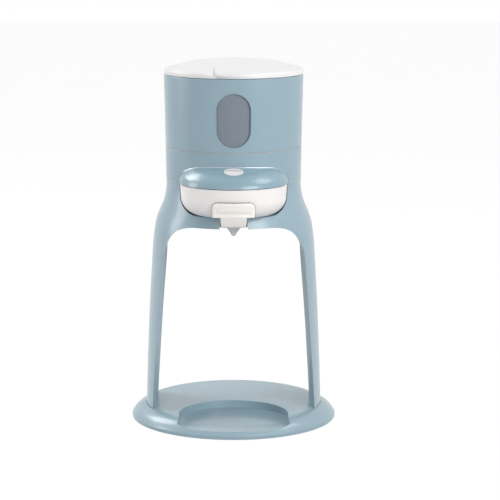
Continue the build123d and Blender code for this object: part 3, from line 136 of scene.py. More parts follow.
def seen_directly(nodes, links):
    """Value that is 1 for rays from the camera, from gloss and through clear pieces."""
    path = nodes.new("ShaderNodeLightPath")
    first = nodes.new("ShaderNodeMath")
    first.operation = "MAXIMUM"
    links.new(path.outputs["Is Camera Ray"], first.inputs[0])
    links.new(path.outputs["Is Glossy Ray"], first.inputs[1])
    second = nodes.new("ShaderNodeMath")
    second.operation = "MAXIMUM"
    links.new(first.outputs[0], second.inputs[0])
    links.new(path.outputs["Is Transmission Ray"], second.inputs[1])
    return second.outputs[0]


def make_floor():
    """Grey floor that keeps a soft shadow and looks white."""
    material = bpy.data.materials.new("studio_floor")
    material.use_nodes = True
    nodes, links = material.node_tree.nodes, material.node_tree.links
    nodes.clear()
    sheet = nodes.new("ShaderNodeBsdfDiffuse")
    sheet.inputs["Color"].default_value = FLOOR_COLOUR
    white = nodes.new("ShaderNodeEmission")
    white.inputs["Strength"].default_value = FLOOR_GLOW
    share = nodes.new("ShaderNodeMath")
    share.operation = "MULTIPLY"
    share.inputs[1].default_value = FLOOR_WHITENING
    links.new(seen_directly(nodes, links), share.inputs[0])
    mix = nodes.new("ShaderNodeMixShader")
    links.new(share.outputs[0], mix.inputs[0])
    links.new(sheet.outputs[0], mix.inputs[1])
    links.new(white.outputs[0], mix.inputs[2])
    output = nodes.new("ShaderNodeOutputMaterial")
    links.new(mix.outputs[0], output.inputs["Surface"])

    mesh = bpy.data.meshes.new("studio_floor")
    corners = [(-FLOOR_HALF, -FLOOR_HALF, 0), (FLOOR_HALF, -FLOOR_HALF, 0),
               (FLOOR_HALF, FLOOR_HALF, 0), (-FLOOR_HALF, FLOOR_HALF, 0)]
    mesh.from_pydata(corners, [], [(0, 1, 2, 3)])
    mesh.materials.append(material)
    floor = bpy.data.objects.new("studio_floor", mesh)
    scene.collection.objects.link(floor)


def make_surroundings():
    """World light: white to look at, gentle on the machine."""
    world = bpy.data.worlds.new("studio_world")
    scene.world = world
    world.use_nodes = True
    nodes, links = world.node_tree.nodes, world.node_tree.links
    nodes.clear()
    gentle = nodes.new("ShaderNodeBackground")
    gentle.inputs["Color"].default_value = AMBIENT_COLOUR
    gentle.inputs["Strength"].default_value = AMBIENT
    white = nodes.new("ShaderNodeBackground")
    white.inputs["Color"].default_value = (1, 1, 1, 1)
    white.inputs["Strength"].default_value = 1.0
    mix = nodes.new("ShaderNodeMixShader")
    links.new(seen_directly(nodes, links), mix.inputs[0])
    links.new(gentle.outputs[0], mix.inputs[1])
    links.new(white.outputs[0], mix.inputs[2])
    output = nodes.new("ShaderNodeOutputWorld")
    links.new(mix.outputs[0], output.inputs["Surface"])


make_floor()
make_surroundings()

# %% [markdown]
# Large soft boxes give moulded plastic its long, soft highlights. The main one stands in front on
# the right, well above the machine. A second one, on the left and behind, draws the bright spots
# on the left of the cap, the shoulder and the base. A small one over the right and an upright one
# on the left brighten the sides, and a weak one in front fills the shadows.

# %% Soft boxes
AIM = Vector((0, 0, 0.17))


def soft_box(name, place, size, watts):
    """Rectangular lamp that faces the middle of the machine."""
    data = bpy.data.lights.new(name, "AREA")
    data.shape = "RECTANGLE"
    data.size, data.size_y = size
    data.energy = watts
    lamp = bpy.data.objects.new(name, data)
    lamp.location = place
    lamp.rotation_euler = (AIM - Vector(place)).to_track_quat("-Z", "Y").to_euler()
    scene.collection.objects.link(lamp)


soft_box("main_box", (1.05, -1.45, 0.95), (1.0, 1.0), 22)
soft_box("left_back_box", (-1.10, 0.80, 1.25), (0.70, 0.70), 11)
soft_box("right_top_box", (0.90, 0.05, 1.40), (0.70, 0.60), 6)
soft_box("left_side_box", (-1.45, 0.1, 0.55), (0.5, 0.8), 6.5)
soft_box("front_fill", (-0.8, -2.2, 0.9), (1.2, 1.2), 6)

# %% [markdown]
# ## Finishes
#
# Most of the machine is injection-moulded plastic. Close up, such a surface is never one flat
# number: the mould's texture gives a fine grain, the gloss varies a little from place to place,
# and the colour is faintly mottled. All of that is worked out from the piece's own coordinates in
# metres, so a grain of half a millimetre is half a millimetre on every piece.

# %% Helpers for finishes
def start_material(name):
    """New node material: material, nodes, links, Principled shader and object coordinates."""
    material = bpy.data.materials.new(name)
    material.use_nodes = True
    nodes, links = material.node_tree.nodes, material.node_tree.links
    shader = nodes["Principled BSDF"]
    place = nodes.new("ShaderNodeTexCoord").outputs["Object"]
    return material, nodes, links, shader, place


def noise(nodes, links, place, size, detail=3.0):
    """Noise pattern whose features are about this many metres wide."""
    texture = nodes.new("ShaderNodeTexNoise")
    texture.inputs["Scale"].default_value = 1 / size
    texture.inputs["Detail"].default_value = detail
    links.new(place, texture.inputs["Vector"])
    return texture.outputs["Fac"]


def between(nodes, links, value, low, high):
    """Spread a pattern of about 0.3 to 0.7 over low to high."""
    spread = nodes.new("ShaderNodeMapRange")
    spread.inputs["From Min"].default_value = 0.3
    spread.inputs["From Max"].default_value = 0.7
    spread.inputs["To Min"].default_value = low
    spread.inputs["To Max"].default_value = high
    links.new(value, spread.inputs["Value"])
    return spread.outputs["Result"]


def blended(nodes, links, factor, first, second):
    """Colour between two colours by a factor from 0 to 1."""
    mix = nodes.new("ShaderNodeMix")
    mix.data_type = "RGBA"
    links.new(factor, mix.inputs["Factor"])
    mix.inputs[6].default_value = first
    mix.inputs[7].default_value = second
    return mix.outputs[2]


def shaded(colour, factor):
    """The same colour, lighter or darker."""
    return (*(min(1.0, channel * factor) for channel in colour[:3]), colour[3])


def mottled(nodes, links, shader, place, colour, amount, size=0.02):
    """Base colour that varies by a small share of itself, in patches of this size."""
    factor = between(nodes, links, noise(nodes, links, place, size), 0, 1)
    tone = blended(nodes, links, factor, shaded(colour, 1 - amount), shaded(colour, 1 + amount))
    links.new(tone, shader.inputs["Base Color"])


def uneven_gloss(nodes, links, shader, place, low, high, size=0.012):
    """Roughness that wanders between two values, in patches of this size."""
    links.new(between(nodes, links, noise(nodes, links, place, size), low, high),
              shader.inputs["Roughness"])


def grain(nodes, links, shader, pattern, depth, strength=0.5):
    """Bump of this depth in metres from a pattern."""
    bump = nodes.new("ShaderNodeBump")
    bump.inputs["Strength"].default_value = strength
    bump.inputs["Distance"].default_value = depth
    links.new(pattern, bump.inputs["Height"])
    links.new(bump.outputs["Normal"], shader.inputs["Normal"])


# %% [markdown]
# The coloured shells, the white lid and bowl and the cream spout share one recipe, with their own
# colour, gloss and grain. Some get a thin clear coat, which keeps a crisp reflection on top of the
# softer one, as polished moulds do.

# %% Moulded plastic
GRAIN_SIZE = 0.0005
PLASTIC_IOR = 1.5
COAT_ROUGHNESS = 0.12


def moulded_plastic(name, colour, roughness, depth, coat=0.0, mottle=0.02):
    """Opaque moulded plastic with grain, uneven gloss and faint mottling."""
    material, nodes, links, shader, place = start_material(name)
    mottled(nodes, links, shader, place, colour, mottle)
    uneven_gloss(nodes, links, shader, place, *roughness)
    grain(nodes, links, shader, noise(nodes, links, place, GRAIN_SIZE), depth)
    shader.inputs["IOR"].default_value = PLASTIC_IOR
    shader.inputs["Coat Weight"].default_value = coat
    shader.inputs["Coat Roughness"].default_value = COAT_ROUGHNESS
    return material


SHELL_BLUE = screen(144, 169, 180)
CAP_BLUE = screen(136, 163, 176)
LID_WHITE = screen(233, 231, 230)
BOWL_WHITE = screen(243, 239, 237)
SPOUT_CREAM = screen(242, 239, 233)
INNER_GREY = screen(172, 177, 181)
INNER_DARK = screen(58, 61, 64)

finishes = {
    "blue_plastic": moulded_plastic("blue_shell_plastic", SHELL_BLUE, (0.30, 0.37), 12e-6,
                                    coat=0.30),
    "blue_gloss": moulded_plastic("blue_cap_plastic", CAP_BLUE, (0.29, 0.36), 4e-6, coat=0.30),
    "white_plastic": moulded_plastic("white_lid_plastic", LID_WHITE, (0.32, 0.40), 4e-6,
                                     mottle=0.01),
    "bowl_white": moulded_plastic("white_bowl_plastic", BOWL_WHITE, (0.30, 0.40), 6e-6,
                                  coat=0.1, mottle=0.012),
    "cream_plastic": moulded_plastic("cream_spout_plastic", SPOUT_CREAM, (0.28, 0.38), 8e-6,
                                     coat=0.1, mottle=0.012),
    "grey_plastic": moulded_plastic("grey_inner_plastic", INNER_GREY, (0.42, 0.52), 20e-6),
    "dark_plastic": moulded_plastic("dark_inner_plastic", INNER_DARK, (0.45, 0.58), 20e-6),
}

# %% [markdown]
# The water tank is a smoky, see-through plastic. Light passes through its wall and is softened on
# the way, so behind the window only a dim grey depth shows. A little plain colour is kept under
# the transmission, because a real tinted plastic also scatters light inside its wall.

# %% Smoky tank plastic
TANK_SMOKE = screen(160, 170, 182)


def smoky_plastic():
    """Tinted plastic that is see-through but softened."""
    material, nodes, links, shader, place = start_material("smoky_tank_plastic")
    mottled(nodes, links, shader, place, TANK_SMOKE, amount=0.02, size=0.03)
    uneven_gloss(nodes, links, shader, place, low=0.16, high=0.24)
    grain(nodes, links, shader, noise(nodes, links, place, size=0.0012), depth=10e-6)
    shader.inputs["IOR"].default_value = 1.49
    shader.inputs["Transmission Weight"].default_value = 0.45
    return material


finishes["smoky_clear"] = smoky_plastic()

# %% [markdown]
# Rubber and silicone are dull and slightly dusty. The soft grey nozzle lets a little light into
# its surface, which subsurface scattering gives. Hoses are a milky silicone that lets light
# through.

# %% Rubber, silicone and hoses
HOSE_MILK = screen(226, 226, 220)
RUBBER_BLACK = screen(50, 50, 52)
SEAL_PALE = screen(205, 205, 202)
NOZZLE_GREY = screen(226, 226, 225)
RUBBER_UNEVEN = 0.06


def soft_rubber(name, colour, rough, depth, scatter=0.0):
    """Dull elastic material with a fine grain and, where asked, light inside its surface."""
    material, nodes, links, shader, place = start_material(name)
    mottled(nodes, links, shader, place, colour, amount=0.04, size=0.006)
    uneven_gloss(nodes, links, shader, place, rough - RUBBER_UNEVEN, rough + RUBBER_UNEVEN,
                 size=0.004)
    grain(nodes, links, shader, noise(nodes, links, place, size=0.0004), depth)
    shader.inputs["Subsurface Weight"].default_value = scatter
    shader.inputs["Subsurface Radius"].default_value = (1.0, 0.9, 0.8)
    shader.inputs["Subsurface Scale"].default_value = 0.002
    return material


def milky_hose():
    """Silicone hose that lets light through its wall."""
    material, nodes, links, shader, place = start_material("milky_hose_silicone")
    mottled(nodes, links, shader, place, HOSE_MILK, amount=0.02, size=0.01)
    uneven_gloss(nodes, links, shader, place, low=0.32, high=0.44, size=0.006)
    grain(nodes, links, shader, noise(nodes, links, place, size=0.0008), depth=10e-6)
    shader.inputs["Transmission Weight"].default_value = 0.4
    return material


finishes["rubber"] = soft_rubber("black_rubber", RUBBER_BLACK, 0.70, 30e-6)
finishes["seal_rubber"] = soft_rubber("pale_seal_rubber", SEAL_PALE, 0.55, 10e-6, 0.2)
finishes["grey_silicone"] = soft_rubber("grey_nozzle_silicone", NOZZLE_GREY, 0.48, 10e-6, 0.25)
finishes["hose_silicone"] = milky_hose()

# %% [markdown]
# Metal parts are hidden most of the time, but they should look right when the machine is opened.
# Drawn and turned metal carries fine lines in one direction, so the noise is stretched along one
# axis before it drives the roughness and the bump.

# %% Metals
LINE_SIZE = 0.001


def lined_metal(name, colour, roughness, stretch, depth):
    """Metal with fine lines: stretch says how the pattern is squeezed along each axis."""
    material, nodes, links, shader, place = start_material(name)
    mapping = nodes.new("ShaderNodeMapping")
    mapping.inputs["Scale"].default_value = stretch
    links.new(place, mapping.inputs["Vector"])
    lines = noise(nodes, links, mapping.outputs["Vector"], LINE_SIZE, detail=4.0)
    mottled(nodes, links, shader, place, colour, amount=0.03, size=0.008)
    links.new(between(nodes, links, lines, *roughness), shader.inputs["Roughness"])
    grain(nodes, links, shader, lines, depth, strength=0.3)
    shader.inputs["Metallic"].default_value = 1.0
    return material


finishes["steel"] = lined_metal("zinc_plated_steel", screen(198, 200, 202), (0.25, 0.40),
                                (4, 4, 1), 8e-6)
finishes["motor_steel"] = lined_metal("drawn_motor_steel", screen(186, 186, 188), (0.22, 0.34),
                                      (0.1, 5, 5), 6e-6)
finishes["aluminium"] = lined_metal("turned_aluminium", screen(212, 213, 215), (0.28, 0.42),
                                    (6, 0.3, 0.3), 10e-6)

# %% [markdown]
# A circuit board is a laminate under green lacquer. Copper tracks lie under it as slightly lighter
# lines: a brick pattern in two directions gives straight runs with breaks, much as tracks run.

# %% Circuit board
def circuit_board():
    """Green lacquered board with faint tracks under the lacquer."""
    material, nodes, links, shader, place = start_material("green_circuit_board")
    tracks = nodes.new("ShaderNodeTexBrick")
    tracks.inputs["Scale"].default_value = 180.0
    tracks.inputs["Mortar Size"].default_value = 0.06
    tracks.inputs["Color1"].default_value = screen(28, 92, 54)
    tracks.inputs["Color2"].default_value = screen(32, 102, 60)
    tracks.inputs["Mortar"].default_value = screen(70, 140, 84)
    links.new(place, tracks.inputs["Vector"])
    links.new(tracks.outputs["Color"], shader.inputs["Base Color"])
    uneven_gloss(nodes, links, shader, place, low=0.25, high=0.38, size=0.004)
    grain(nodes, links, shader, tracks.outputs["Fac"], depth=20e-6)
    return material


finishes["board"] = circuit_board()

# %% [markdown]
# Every solid piece names the finish that it is made in. One loop dresses them all, and the print
# says how many pieces each finish got.

# %% Dress the solid pieces
slot_of = {part["node"]: part["material_slot"] for part in frame["record"]["subparts"]}
for name, piece in frame["nodes"].items():
    for material_slot in piece.material_slots:
        material_slot.material = finishes[slot_of[name]]
for slot_name in finishes:
    print(slot_name, "on", sum(1 for used in slot_of.values() if used == slot_name), "pieces")

# %% [markdown]
# ## Meshes from rings of points
#
# Most pieces that follow are rings of points with faces between one ring and the next. Modifiers
# could bend and round simple solids too, but rings say exactly where each point goes. Sizes are
# written in millimetres, as on a drawing, and become metres when a point is made. Every mesh is
# finished in one way: doubled points are welded, the faces are turned outwards, and edges sharper
# than a limit stay sharp while the rest is shaded smoothly.

# %% Helpers for rings
SAME_POINT = 1e-7


def metres(*millimetres):
    """Place in metres from one in millimetres."""
    return [value / 1000 for value in millimetres]


def skin_rings(shape, rings):
    """Add the faces between each ring of corners and the next one to a bmesh."""
    for first, second in zip(rings, rings[1:]):
        for side in range(len(first)):
            after = (side + 1) % len(first)
            shape.faces.new((first[side], first[after], second[after], second[side]))


def finished_mesh(name, shape, smooth_below=0.6):
    """Mesh from a bmesh: welded, outward, smooth at edges below this angle in radians."""
    bmesh.ops.remove_doubles(shape, verts=shape.verts, dist=SAME_POINT)
    bmesh.ops.recalc_face_normals(shape, faces=shape.faces)
    mesh = bpy.data.meshes.new(name)
    shape.to_mesh(mesh)
    shape.free()
    mesh.shade_smooth()
    mesh.set_sharp_from_angle(angle=smooth_below)
    return mesh


def ringed_mesh(name, rings, smooth_below=0.6, joined=False):
    """Closed mesh over rings of (x, y, z) points: capped at both ends, or joined end to start."""
    shape = bmesh.new()
    corners = [[shape.verts.new(metres(*place)) for place in ring] for ring in rings]
    skin_rings(shape, corners + (corners[:1] if joined else []))
    if not joined:
        shape.faces.new(corners[0])
        shape.faces.new(corners[-1])
    return finished_mesh(name, shape, smooth_below)


# %% [markdown]
# Some pieces are cut out of others. Boolean modifiers do that, with the cutters as objects that
# are only in the scene for that moment, and the evaluated object is turned into a plain mesh. A
# finished piece then gets its one material.

# %% Helpers for cutting and dressing
def evaluated_mesh(name, piece):
    """Plain mesh of an object as its modifiers leave it."""
    bpy.context.view_layer.update()
    depsgraph = bpy.context.evaluated_depsgraph_get()
    mesh = bpy.data.meshes.new_from_object(piece.evaluated_get(depsgraph))
    mesh.name = name
    return mesh


def carved(name, mesh, cutters):
    """Bmesh of a mesh with the cutters' shapes taken away, one after the other."""
    piece = bpy.data.objects.new(name, mesh)
    scene.collection.objects.link(piece)
    tools = []
    for cutter in cutters:
        tool = bpy.data.objects.new(name + "_cutter", cutter)
        scene.collection.objects.link(tool)
        cut = piece.modifiers.new("cut", "BOOLEAN")
        cut.operation = "DIFFERENCE"
        cut.solver = "EXACT"
        cut.object = tool
        tools.append(tool)
    shape = bmesh.new()
    shape.from_mesh(evaluated_mesh(name, piece))
    for used in (piece, *tools):
        bpy.data.objects.remove(used)
    return shape


def dressed_piece(name, mesh, slot_name):
    """Object of this mesh, all in one finish, in the scene."""
    piece = bpy.data.objects.new(name, mesh)
    scene.collection.objects.link(piece)
    mesh.materials.clear()
    mesh.materials.append(finishes[slot_name])
    return piece


# %% [markdown]
# ## Screws and feet
#
# Twelve screws hold the machine together, and the solid model has them as plain pins with heads. A
# real screw has a rounded head with a cross in it, a thread, and a point. A turned shape like that
# is drawn as half an outline and spun round an axis, which is called lathing. The outline here is
# a list of radius and height pairs.

# %% Lathe
def spun(outline, segments):
    """Bmesh of an outline of (radius, height) pairs, as they are, spun about Z."""
    shape = bmesh.new()
    corners = [shape.verts.new((radius, 0, height)) for radius, height in outline]
    edges = [shape.edges.new(pair) for pair in zip(corners, corners[1:])]
    bmesh.ops.spin(shape, geom=corners + edges, cent=(0, 0, 0), axis=(0, 0, 1), angle=2 * pi,
                   steps=segments, use_merge=True)
    return shape


def lathed(name, outline, segments=48):
    """Closed mesh from an outline in millimetres that starts and ends on the axis."""
    return finished_mesh(name, spun([metres(*point) for point in outline], segments))


# %% [markdown]
# The thread is a small ridge that climbs round the shank. Every ring of points is pushed out where
# the ridge passes, and the ridge's place depends on the height and on the angle together. That
# makes one continuous spiral without any cutting. The last turns shrink to a point.

# %% Thread
THREAD_SIDES = 20
ROWS_PER_TURN = 6
THREAD_DEPTH = 0.32     # of the pitch
RIDGE_SLOPE = 3.0       # how fast the ridge falls off beside its crest
POINT_LENGTH = 2.2      # of the crest's radius
POINT_THICKNESS = 0.12  # of the shank's, at the very tip


def threaded_shank(shape, crest, pitch, start, tip):
    """Add a threaded shank about Z to a bmesh, between two heights, in millimetres."""
    depth = pitch * THREAD_DEPTH
    point_start = tip - POINT_LENGTH * crest
    rows = round((tip - start) / pitch * ROWS_PER_TURN)
    rings = []
    for row in range(rows + 1):
        height = start + (tip - start) * row / rows
        slim = 1.0 if height < point_start else (tip - height) / (tip - point_start)
        thickness = POINT_THICKNESS + (1 - POINT_THICKNESS) * slim
        ring = []
        for side in range(THREAD_SIDES):
            turn = side / THREAD_SIDES
            place = ((height - start) / pitch - turn) % 1.0
            ridge = max(0.0, 1 - abs(place - 0.5) * RIDGE_SLOPE)
            radius = (crest - depth * (1 - ridge)) * thickness
            ring.append(shape.verts.new(metres(radius * cos(2 * pi * turn),
                                               radius * sin(2 * pi * turn), height)))
        rings.append(ring)
    skin_rings(shape, rings)
    shape.faces.new(rings[0])
    shape.faces.new(rings[-1])


# %% [markdown]
# The head is lathed, and the cross is cut with two crossed blocks that get narrower inwards. A
# boolean does that once, on the pattern screw, before it is copied to its places.

# %% One screw
FACE_SHARE = 0.62         # of the head's radius, flat in the middle
ROUND_SHARE = 0.62        # of the head's height, rounded
ROUND_STEPS = 6
CROSS_ARM = 0.62          # half length of the cross, of the head's radius
CROSS_WIDTH = 0.17        # half width of the cross, of the head's radius
CROSS_DEPTH = 0.62        # of the head's height
CROSS_TAPER = (0.45, 0.7)  # what is left of length and width at the bottom
CROSS_OVER = 0.5          # how far the cutters stand out of the face, in millimetres
SHANK_START = 0.8         # of the head's height


def pan_head_outline(radius, height):
    """Rounded head: flat face with a rounded edge, and flat again on the shank's side."""
    outline = [(0, 0)]
    for step in range(ROUND_STEPS + 1):
        turn = pi / 2 * step / ROUND_STEPS
        outline.append((radius * (FACE_SHARE + (1 - FACE_SHARE) * sin(turn)),
                        height * ROUND_SHARE * (1 - cos(turn))))
    return outline + [(radius, height), (0, height)]


def tapered_block(name, half_length, half_width, deep):
    """Block about Z that narrows upwards, from below the face up to a depth, in millimetres."""
    sides = ((1, 1), (-1, 1), (-1, -1), (1, -1))
    low = [(x * half_length, y * half_width, -CROSS_OVER) for x, y in sides]
    high = [(x * half_length * CROSS_TAPER[0], y * half_width * CROSS_TAPER[1], deep)
            for x, y in sides]
    return ringed_mesh(name, [low, high])


def pattern_screw(name, head_radius, head_height, crest, pitch, tip):
    """Screw about Z with its head's face at height 0 and its point at the tip, out of the scene."""
    head = lathed(name + "_head", pan_head_outline(head_radius, head_height))
    cutters = [tapered_block(name + "_cross", head_radius * half_length,
                             head_radius * half_width, head_height * CROSS_DEPTH)
               for half_length, half_width in ((CROSS_ARM, CROSS_WIDTH), (CROSS_WIDTH, CROSS_ARM))]
    shape = carved(name + "_carved", head, cutters)
    threaded_shank(shape, crest, pitch, head_height * SHANK_START, tip)
    return bpy.data.objects.new(name, finished_mesh(name, shape))


# %% [markdown]
# Geometry Nodes put the copies in place. The group takes the places as the points of a mesh and
# sets one pattern object on each, turned about its own axis by a random amount, since no two
# screws stop at the same angle. The seed is fixed, so that the turns are the same every time. The
# last two nodes make the copies real and give them their finish.

# %% Node group that sets copies on points
def socket(tree, name, kind, in_out="INPUT"):
    """Add a named socket to a node group."""
    return tree.interface.new_socket(name, in_out=in_out, socket_type=kind)


def make_copy_group():
    """Node group: one pattern object on every point, each turned at random about Z."""
    tree = bpy.data.node_groups.new("set_copies_on_points", "GeometryNodeTree")
    socket(tree, "Places", "NodeSocketGeometry")
    socket(tree, "Pattern", "NodeSocketObject")
    socket(tree, "Largest Turn", "NodeSocketFloat")
    socket(tree, "Seed", "NodeSocketInt")
    socket(tree, "Finish", "NodeSocketMaterial")
    socket(tree, "Copies", "NodeSocketGeometry", "OUTPUT")
    nodes, links = tree.nodes, tree.links
    given, result = nodes.new("NodeGroupInput"), nodes.new("NodeGroupOutput")
    pattern = nodes.new("GeometryNodeObjectInfo")
    pattern.inputs["As Instance"].default_value = True
    turn = nodes.new("FunctionNodeRandomValue")
    turn.data_type = "FLOAT"
    turn_z = nodes.new("ShaderNodeCombineXYZ")
    copies = nodes.new("GeometryNodeInstanceOnPoints")
    real = nodes.new("GeometryNodeRealizeInstances")
    finish = nodes.new("GeometryNodeSetMaterial")
    links.new(given.outputs["Pattern"], pattern.inputs["Object"])
    links.new(given.outputs["Largest Turn"], turn.inputs[3])
    links.new(given.outputs["Seed"], turn.inputs["Seed"])
    links.new(turn.outputs[1], turn_z.inputs["Z"])
    links.new(given.outputs["Places"], copies.inputs["Points"])
    links.new(pattern.outputs["Geometry"], copies.inputs["Instance"])
    links.new(turn_z.outputs[0], copies.inputs["Rotation"])
    links.new(copies.outputs[0], real.inputs[0])
    links.new(real.outputs[0], finish.inputs["Geometry"])
    links.new(given.outputs["Finish"], finish.inputs["Material"])
    links.new(finish.outputs[0], result.inputs["Copies"])
    return tree


copy_group = make_copy_group()


def set_copies(name, pattern, places, finish, largest_turn=0.0, seed=1):
    """One mesh object with the pattern at every place, through the node group."""
    points = bpy.data.meshes.new(name + "_places")
    points.from_pydata([metres(*place) for place in places], [], [])
    piece = bpy.data.objects.new(name, points)
    scene.collection.objects.link(piece)
    scene.collection.objects.link(pattern)
    modifier = piece.modifiers.new("copies", "NODES")
    modifier.node_group = copy_group
    values = {"Pattern": pattern, "Largest Turn": largest_turn, "Seed": seed, "Finish": finish}
    for item in copy_group.interface.items_tree:
        if item.name in values:
            modifier[item.identifier] = values[item.name]
    piece.data = evaluated_mesh(name, piece)
    piece.modifiers.clear()
    bpy.data.objects.remove(pattern)
    return piece


# %% [markdown]
# The screws' sizes are those of the solid pins. Their heights are read from the pins' own boxes,
# and their places from the circles that they stand on. Each set of screws takes over from its
# plain node: the plain one is hidden and kept for the physics.

# %% The three sets of screws
def on_circle(radius, turns, height):
    """Places on a circle about the machine's axis, at turns in degrees from +X."""
    return [(radius * cos(radians(turn)), radius * sin(radians(turn)), height) for turn in turns]


def node_heights(name):
    """Lowest and highest Z of a solid node, in millimetres."""
    corner_low, corner_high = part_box(name)
    return corner_low[2] * 1000, corner_high[2] * 1000


def set_screws(name, node, circle, turns, head, crest, pitch, seed):
    """Threaded screws in the place of one solid node's plain ones."""
    face, tip = node_heights(node)
    pattern = pattern_screw(name + "_pattern", *head, crest, pitch, tip - face)
    piece = set_copies(name, pattern, on_circle(circle, turns, face), finishes["steel"],
                       2 * pi, seed)
    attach(piece, "root")
    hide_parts(node)
    print(name, len(piece.data.polygons), "faces")


COVER_SCREW_CIRCLE = 62.0
LEG_SCREW_CIRCLE = 74.65
LONG_SCREW_CIRCLE = 53.5

set_screws("cover_screws_threaded", "base_screws", COVER_SCREW_CIRCLE, (65, 115, 205, 335),
           head=(2.8, 1.1), crest=1.4, pitch=0.9, seed=3)
set_screws("leg_screws_threaded", "leg_screws", LEG_SCREW_CIRCLE, (11.5, -11.5, 168.5, 191.5),
           head=(2.9, 2.0), crest=1.5, pitch=1.1, seed=5)
set_screws("long_screws_threaded", "long_screws", LONG_SCREW_CIRCLE, (-13, 41, 139, 193),
           head=(2.9, 2.0), crest=1.5, pitch=1.1, seed=8)

# %% [markdown]
# The rubber feet grip through rings that are moulded into their soles. The same lathe draws one
# foot with its rings, and the same node group sets four of them.

# %% Rubber feet
FOOT_CIRCLE = 66.0
FOOT_TURNS = (50, 130, 230, 310)
FOOT_OUTLINE = [
    (0, 0.35), (1.2, 0.35), (1.5, 0.05), (1.7, 0.0), (2.7, 0.0), (2.9, 0.05), (3.1, 0.3),
    (3.5, 0.3), (3.7, 0.05), (3.9, 0.0), (4.7, 0.0), (4.9, 0.05), (5.1, 0.3), (5.4, 0.3),
    (5.6, 0.05), (5.8, 0.0), (6.4, 0.0), (6.75, 0.15), (6.95, 0.4), (7.0, 0.7), (7.0, 1.6),
    (0, 1.6),
]
foot = bpy.data.objects.new("foot_pattern", lathed("foot_pattern", FOOT_OUTLINE))
feet = set_copies("ringed_rubber_feet", foot, on_circle(FOOT_CIRCLE, FOOT_TURNS, 0.0),
                  finishes["rubber"])
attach(feet, "root")
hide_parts("rubber_feet")
print("ringed_rubber_feet", len(feet.data.polygons), "faces")

# %% [markdown]
# ## The lid
#
# The lid is a thin shell with a shallow dome, which ends in an upright rim. On the real one the
# front edge has a fold: to its left the edge dips a little, and to its right there is a groove
# under the edge, so that a fingertip finds it. A shiny dome shows every uneven facet, so it
# gets a mesh of its own: rings of points from the middle outwards, which is a lathe with a say in
# where each point goes.
#
# The fold is a straight line in the dome, so the spokes of the mesh bend to run along it. Two
# spokes lie side by side there, and the step between them is the fold.

# %% Spokes that follow the fold
LID_RADIUS = 60.5
FOLD_X = -15.6
FOLD_REACH = 19.0    # how far the fold runs inwards from the edge
SPOKES = 150
CROWDING = 0.75      # 0 spaces the spokes evenly, and more brings those opposite the fold closer
BEND_WIDTH = radians(50)


def fold_turn(radius):
    """Turn from the front at which the fold's line crosses a ring, or where it ends further in."""
    inner = LID_RADIUS - FOLD_REACH
    return asin(FOLD_X / max(radius, inner))


def spoke_turns():
    """Turns of the spokes from the fold, once round: wide beside it, closer opposite."""
    turns = []
    for step in range(SPOKES + 1):
        share = 2 * step / SPOKES - 1
        turns.append(pi * ((1 - CROWDING) * share + CROWDING * share ** 3) + pi)
    return turns


def bent(turn, radius):
    """Turn of a spoke at a ring: spokes near the fold bend with it."""
    away = min(turn, 2 * pi - turn)
    share = max(0.0, 1 - away / BEND_WIDTH) ** 2
    return fold_turn(LID_RADIUS) + turn + (fold_turn(radius) - fold_turn(LID_RADIUS)) * share


# %% [markdown]
# The outline of the lid runs from the middle of the dome to the rim, round its lower edge, along
# the plug ring that goes into the tank, and back to the middle on the inside. Only the outside
# feels the fold.

# %% Outline of the lid
DOME_TOP = 317.3
DOME_FALL = 8.6
DOME_POWER = 2.6
DOME_RINGS = range(4, 58, 2)
EDGE_ROUND = 1.7
EDGE_STEPS = 7
GROOVE_TOP = 306.5
RIM_RINGS = (306.3, 306.0, 305.7, 305.4, 305.0)
RIM_TOP = 309.2
LID_BOTTOM = 304.6
LOWER_ROUND = 0.4
PLUG_RADIUS = 55.18
PLUG_LOW = 297.8
LID_SHELL = 2.2
INSIDE_RINGS = range(48, 3, -6)


def dome_height(radius, inset=0.0):
    """Height of the dome over a radius, less a wall: flat in the middle, steeper at the rim."""
    return DOME_TOP - inset - DOME_FALL * (radius / LID_RADIUS) ** DOME_POWER


def lid_outline():
    """(radius, height, is it outside) from the dome's middle round the rim to the inside."""
    points = [(radius, dome_height(radius), True) for radius in DOME_RINGS]
    start = dome_height(LID_RADIUS - EDGE_ROUND)
    for step in range(EDGE_STEPS + 1):
        turn = pi / 2 * step / EDGE_STEPS
        radius = LID_RADIUS - EDGE_ROUND * (1 - sin(turn))
        points.append((radius, start - (start - GROOVE_TOP) * (1 - cos(turn)), True))
    points += [(LID_RADIUS, height, True) for height in RIM_RINGS]
    points += [(LID_RADIUS - 0.3 * LOWER_ROUND, LID_BOTTOM + 0.3 * LOWER_ROUND, True),
               (LID_RADIUS - LOWER_ROUND, LID_BOTTOM, True)]
    inner = PLUG_RADIUS - LID_SHELL
    points += [(PLUG_RADIUS, LID_BOTTOM, False), (PLUG_RADIUS, PLUG_LOW, False),
               (inner, PLUG_LOW, False), (inner, dome_height(inner, LID_SHELL), False)]
    return points + [(radius, dome_height(radius, LID_SHELL), False) for radius in INSIDE_RINGS]


# %% [markdown]
# Left of the fold the dome sinks by two millimetres towards the line, and the rim gets lower with
# it. Right of the fold a groove under the edge takes a fingertip. It is deepest at the fold and
# runs out after some 25 mm, and a small bead stiffens the fold's own edge.

# %% Lid with its fold
FOLD_STEP = 2.1
FOLD_WIDTH = 0.25
DIP_WIDTH = 14.0
GROOVE = 1.7
GROOVE_WIDTH = 25.0
GROOVE_RISE = 0.8
BEAD = 0.35
BEAD_WIDTH = 1.6


def smooth(share):
    """Soft step from 0 to 1."""
    share = max(0.0, min(1.0, share))
    return share * share * (3 - 2 * share)


